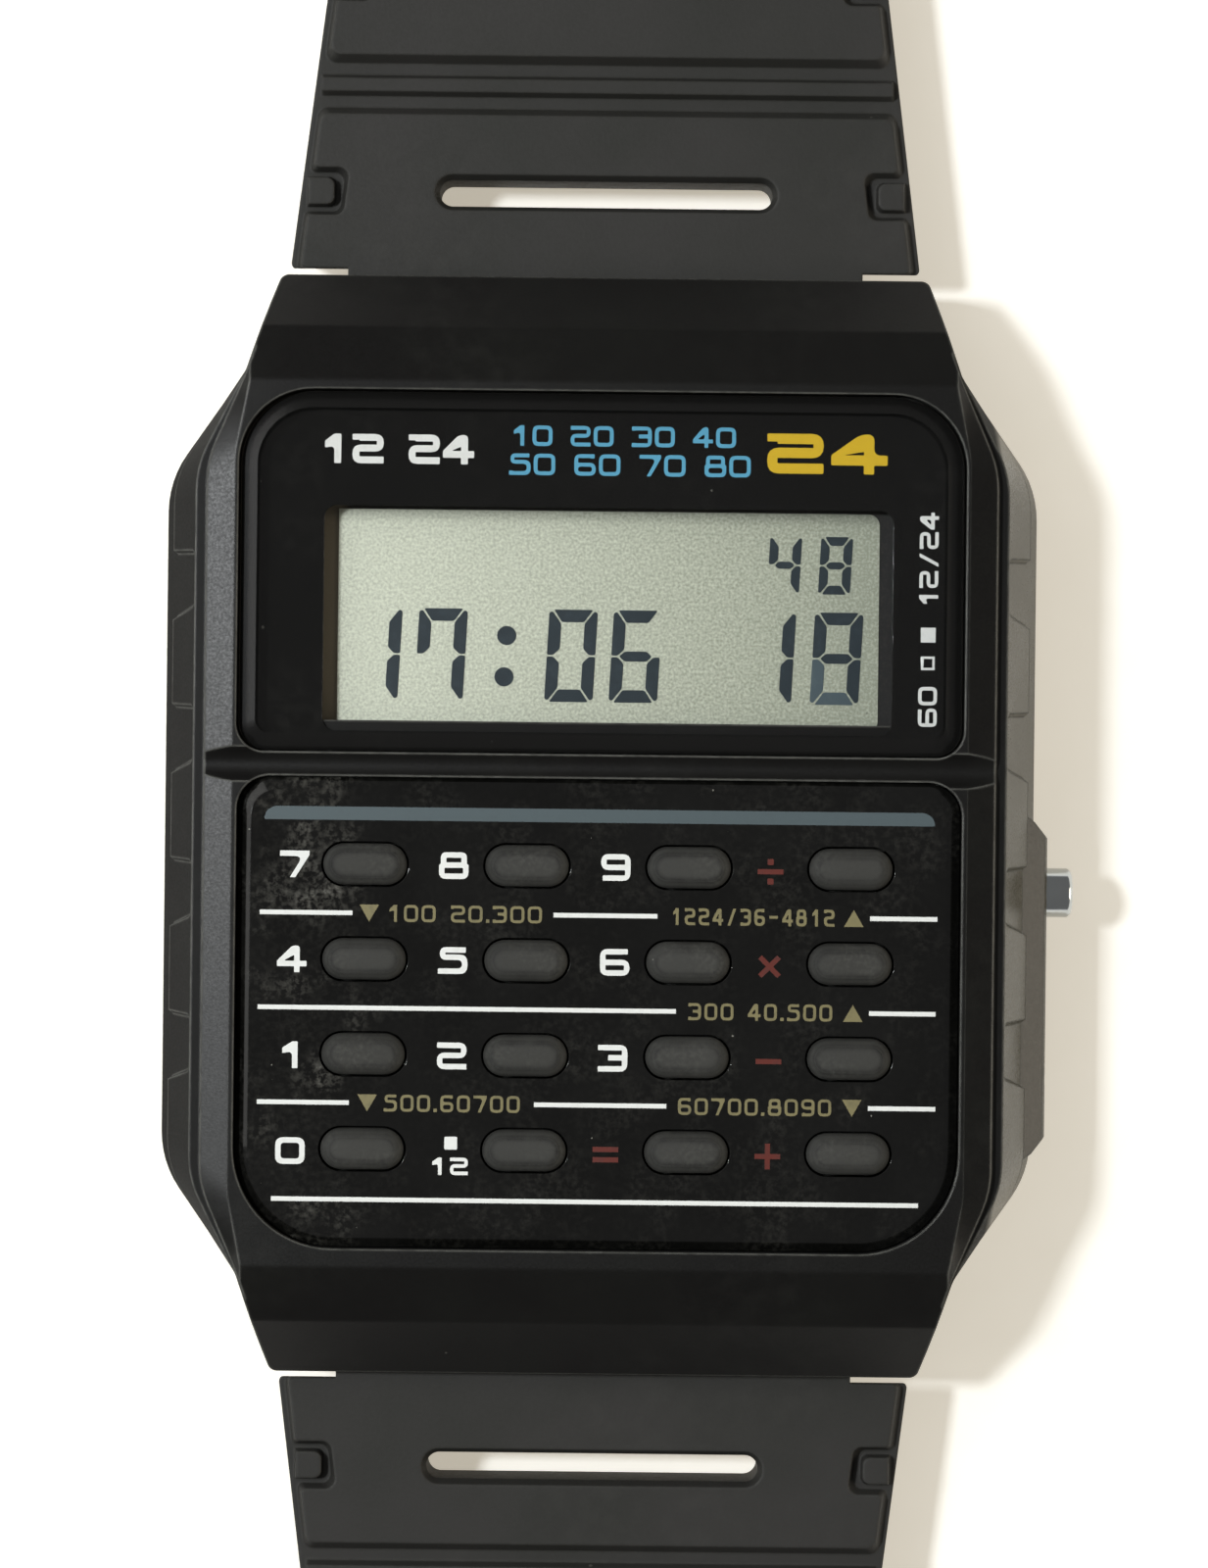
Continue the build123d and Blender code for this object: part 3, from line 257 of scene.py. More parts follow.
@dataclass(frozen=True)
class Moulded(Finish):
    """Moulded resin or rubber.

    Attributes:
        colour: sRGB hex colour.
        tone: second colour, that the first drifts to in large soft patches.
        roughness: middle of the roughness range on faces that lie level.
        grain: size of the mould's fine grain, in metres.
        relief: height of that grain, in metres.
        edge: radius that soft moulded edges catch light with, in metres.
        specks: dust on the surface, or None.
        level: specular level.
        worn: colour laid on its edges, or None. Where it is lighter, it is partly rubbed wear and
            partly painted highlight; where it is darker, it is painted shade.
        edge_wear_and_shading_share: how much of that colour the edges show.
        steep_roughness: roughness on steep faces, where the mould's grain is coarser.
        keen: how small a turn of the surface already counts as an edge.
        film: colour of the warm sheen painted on the steep flank at three o'clock, or None.
        flank_sheen_share: how much of that painted sheen shows.
        flank_polish: how much smoother the surface is made where the sheen is painted.
        flank_sheen_x: where across the watch that flank starts, in metres.
        swing: how far the roughness strays to either side of its middle.
        patch: size of the patches of tone, in metres.
        edge_wear_and_shading_patch: size of the patches that this edge colour is broken into, in
            metres.
        steep: how level a face lies where it counts as steep, and where it no longer does.
        flank_sheen_reach: over what distance the painted sheen sets in, in metres.
    """

    colour: str
    tone: str
    roughness: float
    grain: float = 0.12 * MM
    relief: float = 0.004 * MM
    edge: float = 0.0
    specks: Specks | None = None
    level: float = 0.5
    worn: str | None = None
    edge_wear_and_shading_share: float = 0.5
    steep_roughness: float | None = None
    keen: float = 0.07
    film: str | None = None
    flank_sheen_share: float = 0.5
    flank_polish: float = 0.75
    flank_sheen_x: float = 15.3 * MM
    swing: float = 0.05
    patch: float = 5 * MM
    edge_wear_and_shading_patch: float = 0.6 * MM
    steep: Point = (0.45, 0.8)
    flank_sheen_reach: float = 0.3 * MM

    def surface(self, tree: Tree, place: Socket) -> dict:
        """Add the nodes of the surface.

        Args:
            tree: node tree that gets the nodes.
            place: coordinates in metres.

        Returns:
            Values and links of its shader, by input.
        """
        patches = cloud(tree, place, self.patch, 3.0, (0.35, 0.65), (0, 1))
        grain = add_node(tree, "TexNoise", {"Vector": place, "Scale": 1 / self.grain,
                                            "Detail": 2.0})
        colour = add_node(tree, "Mix", {0: patches, 6: linear(self.colour),
                                        7: linear(self.tone)}, **COLOURS)
        rough = add_node(tree, "MapRange", (grain, *MIDDLE, self.roughness - self.swing,
                                            self.roughness + self.swing))
        bump = {"Height": grain, "Distance": self.relief, "Strength": 1.0}
        if self.edge:
            bump["Normal"], rim = edge_mask(tree, self.edge, self.keen)
            # Edge colour: partly rubbed wear and partly painted highlight where it is lighter,
            # painted shade where it is darker
            if self.worn:
                broken = cloud(tree, place, self.edge_wear_and_shading_patch, 3.0, (0.3, 0.6),
                               (0.5 * self.edge_wear_and_shading_share, self.edge_wear_and_shading_share))
                edge_wear_and_shading = add_node(tree, "Math", (rim, broken), operation="MULTIPLY")
                colour = add_node(tree, "Mix", {0: edge_wear_and_shading, 6: colour, 7: linear(self.worn)},
                                  **COLOURS)
        if self.steep_roughness:
            normal = add_node(tree, "NewGeometry", output="True Normal")
            up = add_node(tree, "SeparateXYZ", (normal,), "Z")
            lying = add_node(tree, "Math", (up,), operation="ABSOLUTE")
            coarser = add_node(tree, "MapRange", (lying, *self.steep,
                                                  self.steep_roughness - self.roughness, 0))
            rough = add_node(tree, "Math", (rough, coarser), operation="ADD")
            # Painted warm sheen on the flank at three o'clock, in place of the light that the flank
            # mirrors
            if self.film:
                colour, rough = self.paint_flank_sheen(tree, place, colour, rough, (lying, rim, patches))
        if self.specks:
            colour, share = self.specks.over(tree, place, colour)
            rough = add_node(tree, "Math", (share, rough), operation="MAXIMUM")
        normal = add_node(tree, "Bump", bump)
        return {"Base Color": colour, "Roughness": rough, "Normal": normal,
                "Specular IOR Level": self.level, "IOR": 1.5}

    def paint_flank_sheen(self, tree: Tree, place: Socket, colour: Socket, rough: Socket,
               spared: tuple[Socket, Socket, Socket]) -> tuple[Socket, Socket]:
        """Paint a warm sheen on the flank at three o'clock, in place of the light that the flank
        mirrors.

        Args:
            tree: node tree that gets the nodes.
            place: coordinates in metres.
            colour: colour of the clean surface.
            rough: its roughness.
            spared: how level a face lies, edges and patches, which the painted sheen spares.

        Returns:
            Colour and roughness of the surface with its painted sheen.
        """
        across = add_node(tree, "SeparateXYZ", (place,), "X")
        share = add_node(tree, "MapRange", (across, self.flank_sheen_x, self.flank_sheen_x + self.flank_sheen_reach,
                                            0, self.flank_sheen_share))
        limits = ((0.5, 0.85, 1, 0), (0, 0.5, 1, 0), (0, 1, 1, 0.85))
        for value, limit in zip(spared, limits):
            left = add_node(tree, "MapRange", (value, *limit))
            share = add_node(tree, "Math", (share, left), operation="MULTIPLY")
        colour = add_node(tree, "Mix", {0: share, 6: colour, 7: linear(self.film)}, **COLOURS)
        polish = add_node(tree, "Math", (share, -self.flank_polish), operation="MULTIPLY")
        return colour, add_node(tree, "Math", (rough, polish), operation="ADD")


@dataclass(frozen=True)
class Metal(Finish):
    """Metal, polished, brushed or plated.

    Attributes:
        colour: sRGB hex colour.
        roughness: middle of the roughness range.
        brushing: width of one brushed line in metres, or 0 for none.
        along: stretch of the lines along X, Y and Z, as shares.
        edge: radius that its edges catch light with, in metres.
        grain: size of its fine marks where it isn't brushed, in metres.
        stained: sRGB hex colour of its faint stains.
        stain: share of that colour where it is most stained.
        stain_size: size of a stain, in metres.
        swing: least and greatest roughness, as shares of its middle.
        relief: height of its lines or fine marks, in metres.
        faint: strength of its fine marks where it isn't brushed.
    """

    colour: str
    roughness: float
    brushing: float = 0.0
    along: tuple[float, float, float] = (0.03, 1.0, 1.0)
    edge: float = 0.05 * MM
    grain: float = 0.4 * MM
    stained: str = "6f6d68"
    stain: float = 0.25
    stain_size: float = 6 * MM
    swing: Point = (0.75, 1.3)
    relief: float = 0.002 * MM
    faint: float = 0.3

    def surface(self, tree: Tree, place: Socket) -> dict:
        """Add the nodes of the surface.

        Args:
            tree: node tree that gets the nodes.
            place: coordinates in metres.

        Returns:
            Values and links of its shader, by input.
        """
        stretched = place
        if self.brushing:
            stretched = add_node(tree, "Mapping", {"Vector": place, "Scale": self.along})
        lines = add_node(tree, "TexNoise", {"Vector": stretched, "Detail": 3.0,
                                            "Scale": 1 / (self.brushing or self.grain)})
        stain = cloud(tree, place, self.stain_size, 4.0, MIDDLE, (0.0, self.stain))
        colour = add_node(tree, "Mix", {0: stain, 6: linear(self.colour),
                                        7: linear(self.stained)}, **COLOURS)
        rough = add_node(tree, "MapRange", (lines, *MIDDLE, *(self.roughness * share
                                                               for share in self.swing)))
        soft = add_node(tree, "Bevel", {"Radius": self.edge}, samples=4)
        normal = add_node(tree, "Bump", {"Height": lines, "Distance": self.relief,
                                         "Strength": 1.0 if self.brushing else self.faint,
                                         "Normal": soft})
        return {"Base Color": colour, "Roughness": rough, "Metallic": 1.0, "Normal": normal}


@dataclass(frozen=True)
class Ink(Finish):
    """Pad-printed ink, a little uneven and worn.

    Attributes:
        colour: sRGB hex colour.
        worn: colour that shows where the ink is thin.
        wear: share of the second colour in the thinnest places.
        patch: size of a thin place, in metres.
        roughness: roughness where the ink is full, and where it is worn off.
        relief: height of its unevenness, in metres.
    """

    colour: str
    worn: str
    wear: float = 0.25
    patch: float = 0.35 * MM
    roughness: Point = (0.38, 0.6)
    relief: float = 0.003 * MM

    def surface(self, tree: Tree, place: Socket) -> dict:
        """Add the nodes of the surface.

        Args:
            tree: node tree that gets the nodes.
            place: coordinates in metres.

        Returns:
            Values and links of its shader, by input.
        """
        thin = cloud(tree, place, self.patch, 3.0, (0.5, 0.75), (0, self.wear))
        colour = add_node(tree, "Mix", {0: thin, 6: linear(self.colour), 7: linear(self.worn)},
                          **COLOURS)
        rough = add_node(tree, "MapRange", (thin, 0, 1, *self.roughness))
        normal = add_node(tree, "Bump", {"Height": thin, "Distance": self.relief,
                                         "Strength": 0.6})
        return {"Base Color": colour, "Roughness": rough, "Normal": normal}


@dataclass(frozen=True)
class GlossPanel(Finish):
    """Gloss acrylic panel or film, black behind, with dust, lint and smears on it.

    Attributes:
        colour: sRGB hex colour.
        roughness: roughness where it is clean.
        specks: dust on it.
        smeared: sRGB hex colour of its smears.
        smear_size: size of a smear, in metres.
        edge: radius that its edges catch light with, in metres.
        full_dust: share of dust at which the surface is as dull as dust.
        dusty: roughness there.
    """

    colour: str
    roughness: float
    specks: Specks
    smeared: str = "0f0f0e"
    smear_size: float = 3 * MM
    edge: float = 0.06 * MM
    full_dust: float = 0.6
    dusty: float = 0.6

    def surface(self, tree: Tree, place: Socket) -> dict:
        """Add the nodes of the surface.

        Args:
            tree: node tree that gets the nodes.
            place: coordinates in metres.

        Returns:
            Values and links of its shader, by input.
        """
        smear = cloud(tree, place, self.smear_size, 4.0, (0.4, 0.7), (0, 1))
        base = add_node(tree, "Mix", {0: smear, 6: linear(self.colour),
                                      7: linear(self.smeared)}, **COLOURS)
        colour, share = self.specks.over(tree, place, base)
        rough = add_node(tree, "MapRange", (share, 0, self.full_dust, self.roughness,
                                            self.dusty))
        soft = add_node(tree, "Bevel", {"Radius": self.edge}, samples=4)
        return {"Base Color": colour, "Roughness": rough, "IOR": ACRYLIC_INDEX, "Normal": soft}


@dataclass(frozen=True)
class ClearAcrylic(Finish):
    """Clear cast acrylic lens: see-through face, and a bevel that catches the light.

    Attributes:
        tint: sRGB hex colour of the bevel.
        depth: sRGB hex colour of the level face.
        face: opacity of the level face.
        rim: opacity of the bevel.
        level: how level a face lies where the bevel ends and where the face is full.
        specks: the little dust on it.
        roughness: roughness of the bevel, and of the face.
    """

    name: str = "clear cast acrylic"
    tint: str = "3a3833"
    depth: str = "101010"
    face: float = 0.04
    rim: float = 0.9
    level: Point = (0.9, 0.99)
    specks: Specks = Specks(spacing=2.2 * MM, radius_share=0.03, film=0.004)
    roughness: Point = (0.35, 0.05)

    def surface(self, tree: Tree, place: Socket) -> dict:
        """Add the nodes of the surface.

        Args:
            tree: node tree that gets the nodes.
            place: coordinates in metres.

        Returns:
            Values and links of its shader, by input.
        """
        normal = add_node(tree, "NewGeometry", output="True Normal")
        up = add_node(tree, "SeparateXYZ", (normal,), "Z")
        lying = add_node(tree, "Math", (up,), operation="ABSOLUTE")
        clean = add_node(tree, "Mix", {0: lying, 6: linear(self.tint), 7: linear(self.depth)},
                         **COLOURS)
        colour, share = self.specks.over(tree, place, clean)
        opacity = add_node(tree, "MapRange", (lying, *self.level, self.rim, self.face))
        opacity = add_node(tree, "Math", (opacity, share), operation="ADD", use_clamp=True)
        rough = add_node(tree, "MapRange", (lying, *self.level, *self.roughness))
        return {"Base Color": colour, "Roughness": rough, "IOR": ACRYLIC_INDEX, "Alpha": opacity,
                "Normal": normal}


@dataclass(frozen=True)
class Polariser(Finish):
    """Sheet of the liquid crystal display: a fine sparkle, and painted shading that darkens it
    across the watch.

    Attributes:
        colour: sRGB hex colour on the left.
        dark: colour on the right.
        reach: where the painted shading starts and ends across the watch, in metres.
        painted_shading: share of the second colour at both of those.
        sparkle: how far the sparkle moves that share, up and down.
        shaded: where the painted shadow of the mask along the upper edge starts and ends, in metres.
        shade: colour of that painted shadow.
        shade_share: share of that colour at the very edge.
        grain: size of the sparkle, in metres.
        relief: height of its grain, in metres.
        roughness: least and greatest roughness.
    """

    colour: str = "f0f6e2"
    dark: str = "a4aa97"
    reach: Point = (-10.6 * MM, 10.6 * MM)
    painted_shading: Point = (0.2, 0.92)
    sparkle: float = 0.3
    shaded: Point = (11.75 * MM, 12.4 * MM)
    shade: str = "26271f"
    shade_share: float = 0.45
    grain: float = 0.11 * MM
    relief: float = 0.004 * MM
    roughness: Point = (0.5, 0.65)

    def surface(self, tree: Tree, place: Socket) -> dict:
        """Add the nodes of the surface.

        Args:
            tree: node tree that gets the nodes.
            place: coordinates in metres.

        Returns:
            Values and links of its shader, by input.
        """
        # The reflector's sparkle is about 0.05 mm across, and drawn at twice that to show
        grain = add_node(tree, "TexNoise", {"Vector": place, "Scale": 1 / self.grain,
                                            "Detail": 2.0})
        sparkle = add_node(tree, "MapRange", (grain, *MIDDLE, -self.sparkle, self.sparkle))
        across = add_node(tree, "SeparateXYZ", (place,), "X")
        # Painted shading: the sheet is painted darker to the right, where less light falls on it
        painted_shading = add_node(tree, "MapRange", (across, *self.reach, *self.painted_shading))
        share = add_node(tree, "Math", (sparkle, painted_shading), operation="ADD", use_clamp=True)
        colour = add_node(tree, "Mix", {0: share, 6: linear(self.colour),
                                        7: linear(self.dark)}, **COLOURS)
        # Painted shadow of the mask along the upper edge
        border = add_node(tree, "MapRange", (across.node.outputs["Y"], *self.shaded, 0,
                                             self.shade_share),
                          interpolation_type="SMOOTHSTEP")
        colour = add_node(tree, "Mix", {0: border, 6: colour, 7: linear(self.shade)}, **COLOURS)
        rough = add_node(tree, "MapRange", (grain, 0, 1, *self.roughness))
        normal = add_node(tree, "Bump", {"Height": grain, "Distance": self.relief,
                                         "Strength": 0.5})
        return {"Base Color": colour, "Roughness": rough, "Normal": normal}


@dataclass(frozen=True)
class Board(Finish):
    """Glass-epoxy circuit board under green solder mask, with faint tracks.

    Attributes:
        mask: sRGB hex colour of the solder mask.
        patch: its colour over larger copper.
        track: its colour over the tracks.
        glass: colour of the glass weave that shows through.
        pitch: distance between tracks, in metres.
        track_share: width of a track as a share of a brick.
        weave: size of the weave, in metres.
        weave_share: share of the glass's colour where it shows most.
        relief: height of the tracks, in metres.
        roughness: least and greatest roughness.
    """

    name: str = "green glass-epoxy board"
    mask: str = "1f5a3a"
    patch: str = "1a4f33"
    track: str = "2f7a4c"
    glass: str = "123a25"
    pitch: float = 2.4 * MM
    track_share: float = 0.05
    weave: float = 0.3 * MM
    weave_share: float = 0.2
    relief: float = 0.02 * MM
    roughness: Point = (0.3, 0.45)

    def surface(self, tree: Tree, place: Socket) -> dict:
        """Add the nodes of the surface.

        Args:
            tree: node tree that gets the nodes.
            place: coordinates in metres.

        Returns:
            Values and links of its shader, by input.
        """
        copper = add_node(tree, "TexBrick",
                          {"Vector": place, "Scale": 1 / self.pitch, "Mortar Size": self.track_share,
                           "Color1": linear(self.mask), "Color2": linear(self.patch),
                           "Mortar": linear(self.track)})
        weave = add_node(tree, "TexNoise", {"Vector": place, "Scale": 1 / self.weave,
                                            "Detail": 2.0})
        share = add_node(tree, "MapRange", (weave, *MIDDLE, 0, self.weave_share))
        colour = add_node(tree, "Mix", {0: share, 6: copper, 7: linear(self.glass)}, **COLOURS)
        rough = add_node(tree, "MapRange", (weave, 0, 1, *self.roughness))
        normal = add_node(tree, "Bump", {"Height": copper.node.outputs["Fac"],
                                         "Distance": self.relief, "Strength": 0.6})
        return {"Base Color": colour, "Roughness": rough, "Normal": normal}


class Finishes(Enum):
    """Every finish of the watch."""

    # Spark-eroded mould: a fine satin grain, edges lighter by rubbed wear and painted highlight, and
    # a painted warm sheen on the flank at three o'clock
    CASE = Moulded("satin black case resin", "0d0c0b", "11110f", 0.38, grain=0.10 * MM,
                   relief=0.002 * MM, edge=0.14 * MM, level=0.26, worn="7a7a74",
                   edge_wear_and_shading_share=0.6, steep_roughness=0.85, keen=0.035, film="6f6957",
                   flank_sheen_share=0.42, flank_polish=1.45,
                   specks=Specks("6d6c66", 2.6 * MM, 0.035, 0.01, 9 * MM))
    # Softer resin with a dry, even grain that greys the surface, and edges lighter by wear and
    # painted highlight
    STRAP = Moulded("matte charcoal strap resin", "2b2b28", "302f2d", 0.60, grain=0.14 * MM,
                    relief=0.006 * MM, edge=0.16 * MM, level=0.3, worn="4a4a46",
                    edge_wear_and_shading_share=0.35, specks=Specks("6a6963", 3.5 * MM, 0.03, 0.012, 8 * MM))
    # Moulded silicone: dull, with a faint bloom on top, and painted shade that darkens its edges and
    # sides
    KEY = Moulded("dark silicone rubber", "3f3f3c", "3b3b38", 0.72, grain=0.10 * MM,
                  relief=0.003 * MM, edge=0.40 * MM, level=0.3, worn="121211",
                  edge_wear_and_shading_share=0.95, keen=0.015,
                  specks=Specks("8c8b83", 1.2 * MM, 0.05, 0.03, 2 * MM))
    # Cast acrylic, black behind: deep gloss that shows each speck, dustier on the left
    PANEL = GlossPanel("gloss black acrylic panel", "080807", 0.09,
                       Specks("9a988e", 0.9 * MM, 0.055, 0.028, 2.2 * MM, -11.4 * MM, 3.0 * MM))
    # Screen-printed film behind the lens: deep, even black
    FILM = GlossPanel("gloss black printed film", "0e0e0d", 0.07,
                      Specks("6d6c66", 1.8 * MM, 0.05, 0.015, 6 * MM))
    # Nothing but its bevel and a few specks show
    LENS = ClearAcrylic()
    # Grey-green film over a satin reflector: a fine sparkle, painted shading that darkens it to the
    # right, and a painted shadow of the mask along its upper edge
    POLARISER = Polariser("display polariser")
    # The bare glass shows olive left of the sheet, and lies in the mask's shade on the right
    GLASS_EDGE = Polariser("display glass border", "8a806a", "0d0d0c",
                           (-10.3 * MM, -9.9 * MM), (0.0, 1.0), 0.04)
    # Opaque inks: even and clean where they are white, thin and mottled where they are dark
    WHITE = Ink("white pad-print ink", "f6f8f4", "cfcfc8")
    KHAKI = Ink("khaki pad-print ink", "857d58", "575339", 0.5)
    RED = Ink("dark red pad-print ink", "64261c", "3c1712", 0.5)
    BLUE_GREY = Ink("blue-grey pad-print ink", "505d61", "424e52")
    CYAN = Ink("cyan screen-print ink", "5fb0d2", "4a93b3", 0.15)
    YELLOW = Ink("yellow screen-print ink", "e3bd22", "c9a41d", 0.15)
    # Lit crystal: blue-black, and paler where two segments are half lit
    SEGMENT = Ink("liquid crystal segment", "27343b", "2f3f48", 0.5)
    FADING = Ink("half-lit liquid crystal segment", "4f5f66", "5d6b6e", 0.5)
    # Turned and polished: mirrors the paper sharply
    POLISHED = Metal("polished stainless steel", "c3c8ca", 0.12)
    # Line-brushed across the back: a soft streak of light
    BRUSHED = Metal("brushed stainless steel", "b9b9b6", 0.32, 0.12 * MM)
    # Drawn and stamped springs: bright, a little warm
    SPRING = Metal("bright spring steel", "b0aca4", 0.25)
    # Nickel over stamped steel: smooth and faintly yellow
    PLATED = Metal("nickel-plated can", "c2c0b8", 0.18)
    # Rolled sheet: yellow, with a soft shine
    BRASS = Metal("plain brass", "c9a55a", 0.3)
    # Etched foil: a wide, soft, greenish shine
    FOIL = Metal("satin reflector foil", "b9beb0", 0.45)
    # Solder mask over copper: green gloss with raised tracks
    BOARD = Board()
    # Frames that hold the module: an even, waxy grey
    GREY_PLASTIC = Moulded("moulded grey acetal", "6a6a66", "62625e", 0.5, 0.2 * MM)
    # Potted chip: a glossy black lump
    EPOXY = Moulded("black chip epoxy", "101010", "161616", 0.25, 0.3 * MM)
    # Sealing rings: dull black
    SEAL = Moulded("black nitrile rubber", "151515", "1b1b1a", 0.6, 0.1 * MM)
    # Layers of carbon and silicone: dull, in two greys
    STRIPES = Moulded("striped conductive rubber", "4e4e50", "2a2a2c", 0.6, 0.15 * MM)

    def material(self) -> bpy.types.Material:
        """The finish's material, made once."""
        return bpy.data.materials.get(self.value.name) or self.value.build()


def report(piece: bpy.types.Object) -> None:
    """Log a piece's name and face count."""
    LOG.info("%s: %d faces", piece.name, len(piece.data.polygons))


def only(piece: bpy.types.Object) -> None:
    """Select one object and make it active.

    Args:
        piece: the object.
    """
    bpy.ops.object.select_all(action="DESELECT")
    piece.select_set(True)
    bpy.context.view_layer.objects.active = piece


def dress(piece: bpy.types.Object, finish: Finishes) -> None:
    """Give a whole object one finish."""
    piece.data.materials.clear()
    piece.data.materials.append(finish.material())


def dress_nodes(finish: Finishes, *nodes: str) -> None:
    """Give some solids of the frame one finish.

    Args:
        finish: their finish.
        nodes: names of the solids.
    """
    for node in nodes:
        dress(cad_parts[node], finish)
        LOG.info("%s dressed as %s", node, finish.value.name)


def stand_in(node: str, name: str, finish: Finishes, body: str) -> bpy.types.Object:
    """Copy a solid's mesh into a piece of its own, in the same place.

    Args:
        node: solid that the piece stands for.
        name: name of the new piece.
        finish: finish of the piece.
        body: body that it moves with.

    Returns:
        The new piece, which replaces the solid.
    """
    piece = bpy.data.objects.new(name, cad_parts[node].data.copy())
    bpy.context.scene.collection.objects.link(piece)
    dress(piece, finish)
    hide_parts(node)
    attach(piece, body)
    return piece


def soften(piece: bpy.types.Object, width: float, segments: int = 3,
           angle: float = 28.0) -> None:
    """Round the edges of a copied solid.

    Args:
        piece: the copy.
        width: width of the rounded edges, in metres.
        segments: faces across a rounded edge.
        angle: least angle in degrees of an edge that is rounded.
    """
    only(piece)
    bpy.ops.object.mode_set(mode="EDIT")
    bpy.ops.mesh.select_all(action="SELECT")
    bpy.ops.mesh.remove_doubles(threshold=0.0005 * MM)
    bpy.ops.mesh.dissolve_limited(angle_limit=math.radians(0.6))
    bpy.ops.object.mode_set(mode="OBJECT")
    modifier = piece.modifiers.new("edges", "BEVEL")
    modifier.width = width
    modifier.segments = segments
    modifier.limit_method = "ANGLE"
    modifier.angle_limit = math.radians(angle)
    bpy.ops.object.modifier_apply(modifier=modifier.name)
    bpy.ops.object.shade_smooth_by_angle(angle=math.radians(35))
    report(piece)


def rounded(points: list[Vector], radius: float, closed: bool,
            stub: float = 0.0) -> list[Vector]:
    """Round the corners of a line.

    Args:
        points: corners of the line.
        radius: cut taken from both sides of a corner, in metres.
        closed: whether the line returns to its start.
        stub: runs shorter than this keep nearly sharp corners, as stroke ends do.

    Returns:
        The points of the rounded line.
    """
    result = []
    for index, corner in enumerate(points):
        if not closed and index in (0, len(points) - 1):
            result.append(corner)
            continue
        back = points[index - 1] - corner
        ahead = points[(index + 1) % len(points)] - corner
        near = min(back.length, ahead.length)
        cut = min(radius, near / 2) if near > stub else near / 6
        start = corner + back.normalized() * cut
        end = corner + ahead.normalized() * cut
        for step in range(5):
            share = step / 4
            result.append(start * (1 - share) ** 2 + corner * 2 * share * (1 - share)
                          + end * share ** 2)
    return result


def box_outline(left: float, low: float, right: float, high: float) -> Outline:
    """Corners of an upright rectangle."""
    return [(left, low), (right, low), (right, high), (left, high)]


def square_outline(x: float, y: float, half: float) -> Outline:
    """Corners of an upright square, from its middle and half its side."""
    return box_outline(x - half, y - half, x + half, y + half)


def cross_outline(x: float, y: float, arm: float, half: float, turn: float) -> Outline:
    """Corners of a cross with equal arms.

    Args:
        x: middle across.
        y: middle along.
        arm: reach of an arm from the middle.
        half: half the thickness of the arms.
        turn: turn of the cross, in degrees.

    Returns:
        The twelve corners.
    """
    corners = []
    for quarter in range(4):
        angle = math.radians(turn + 90 * quarter)
        for along, across in ((arm, -half), (arm, half), (half, half)):
            corners.append((x + along * math.cos(angle) - across * math.sin(angle),
                            y + along * math.sin(angle) + across * math.cos(angle)))
    return corners


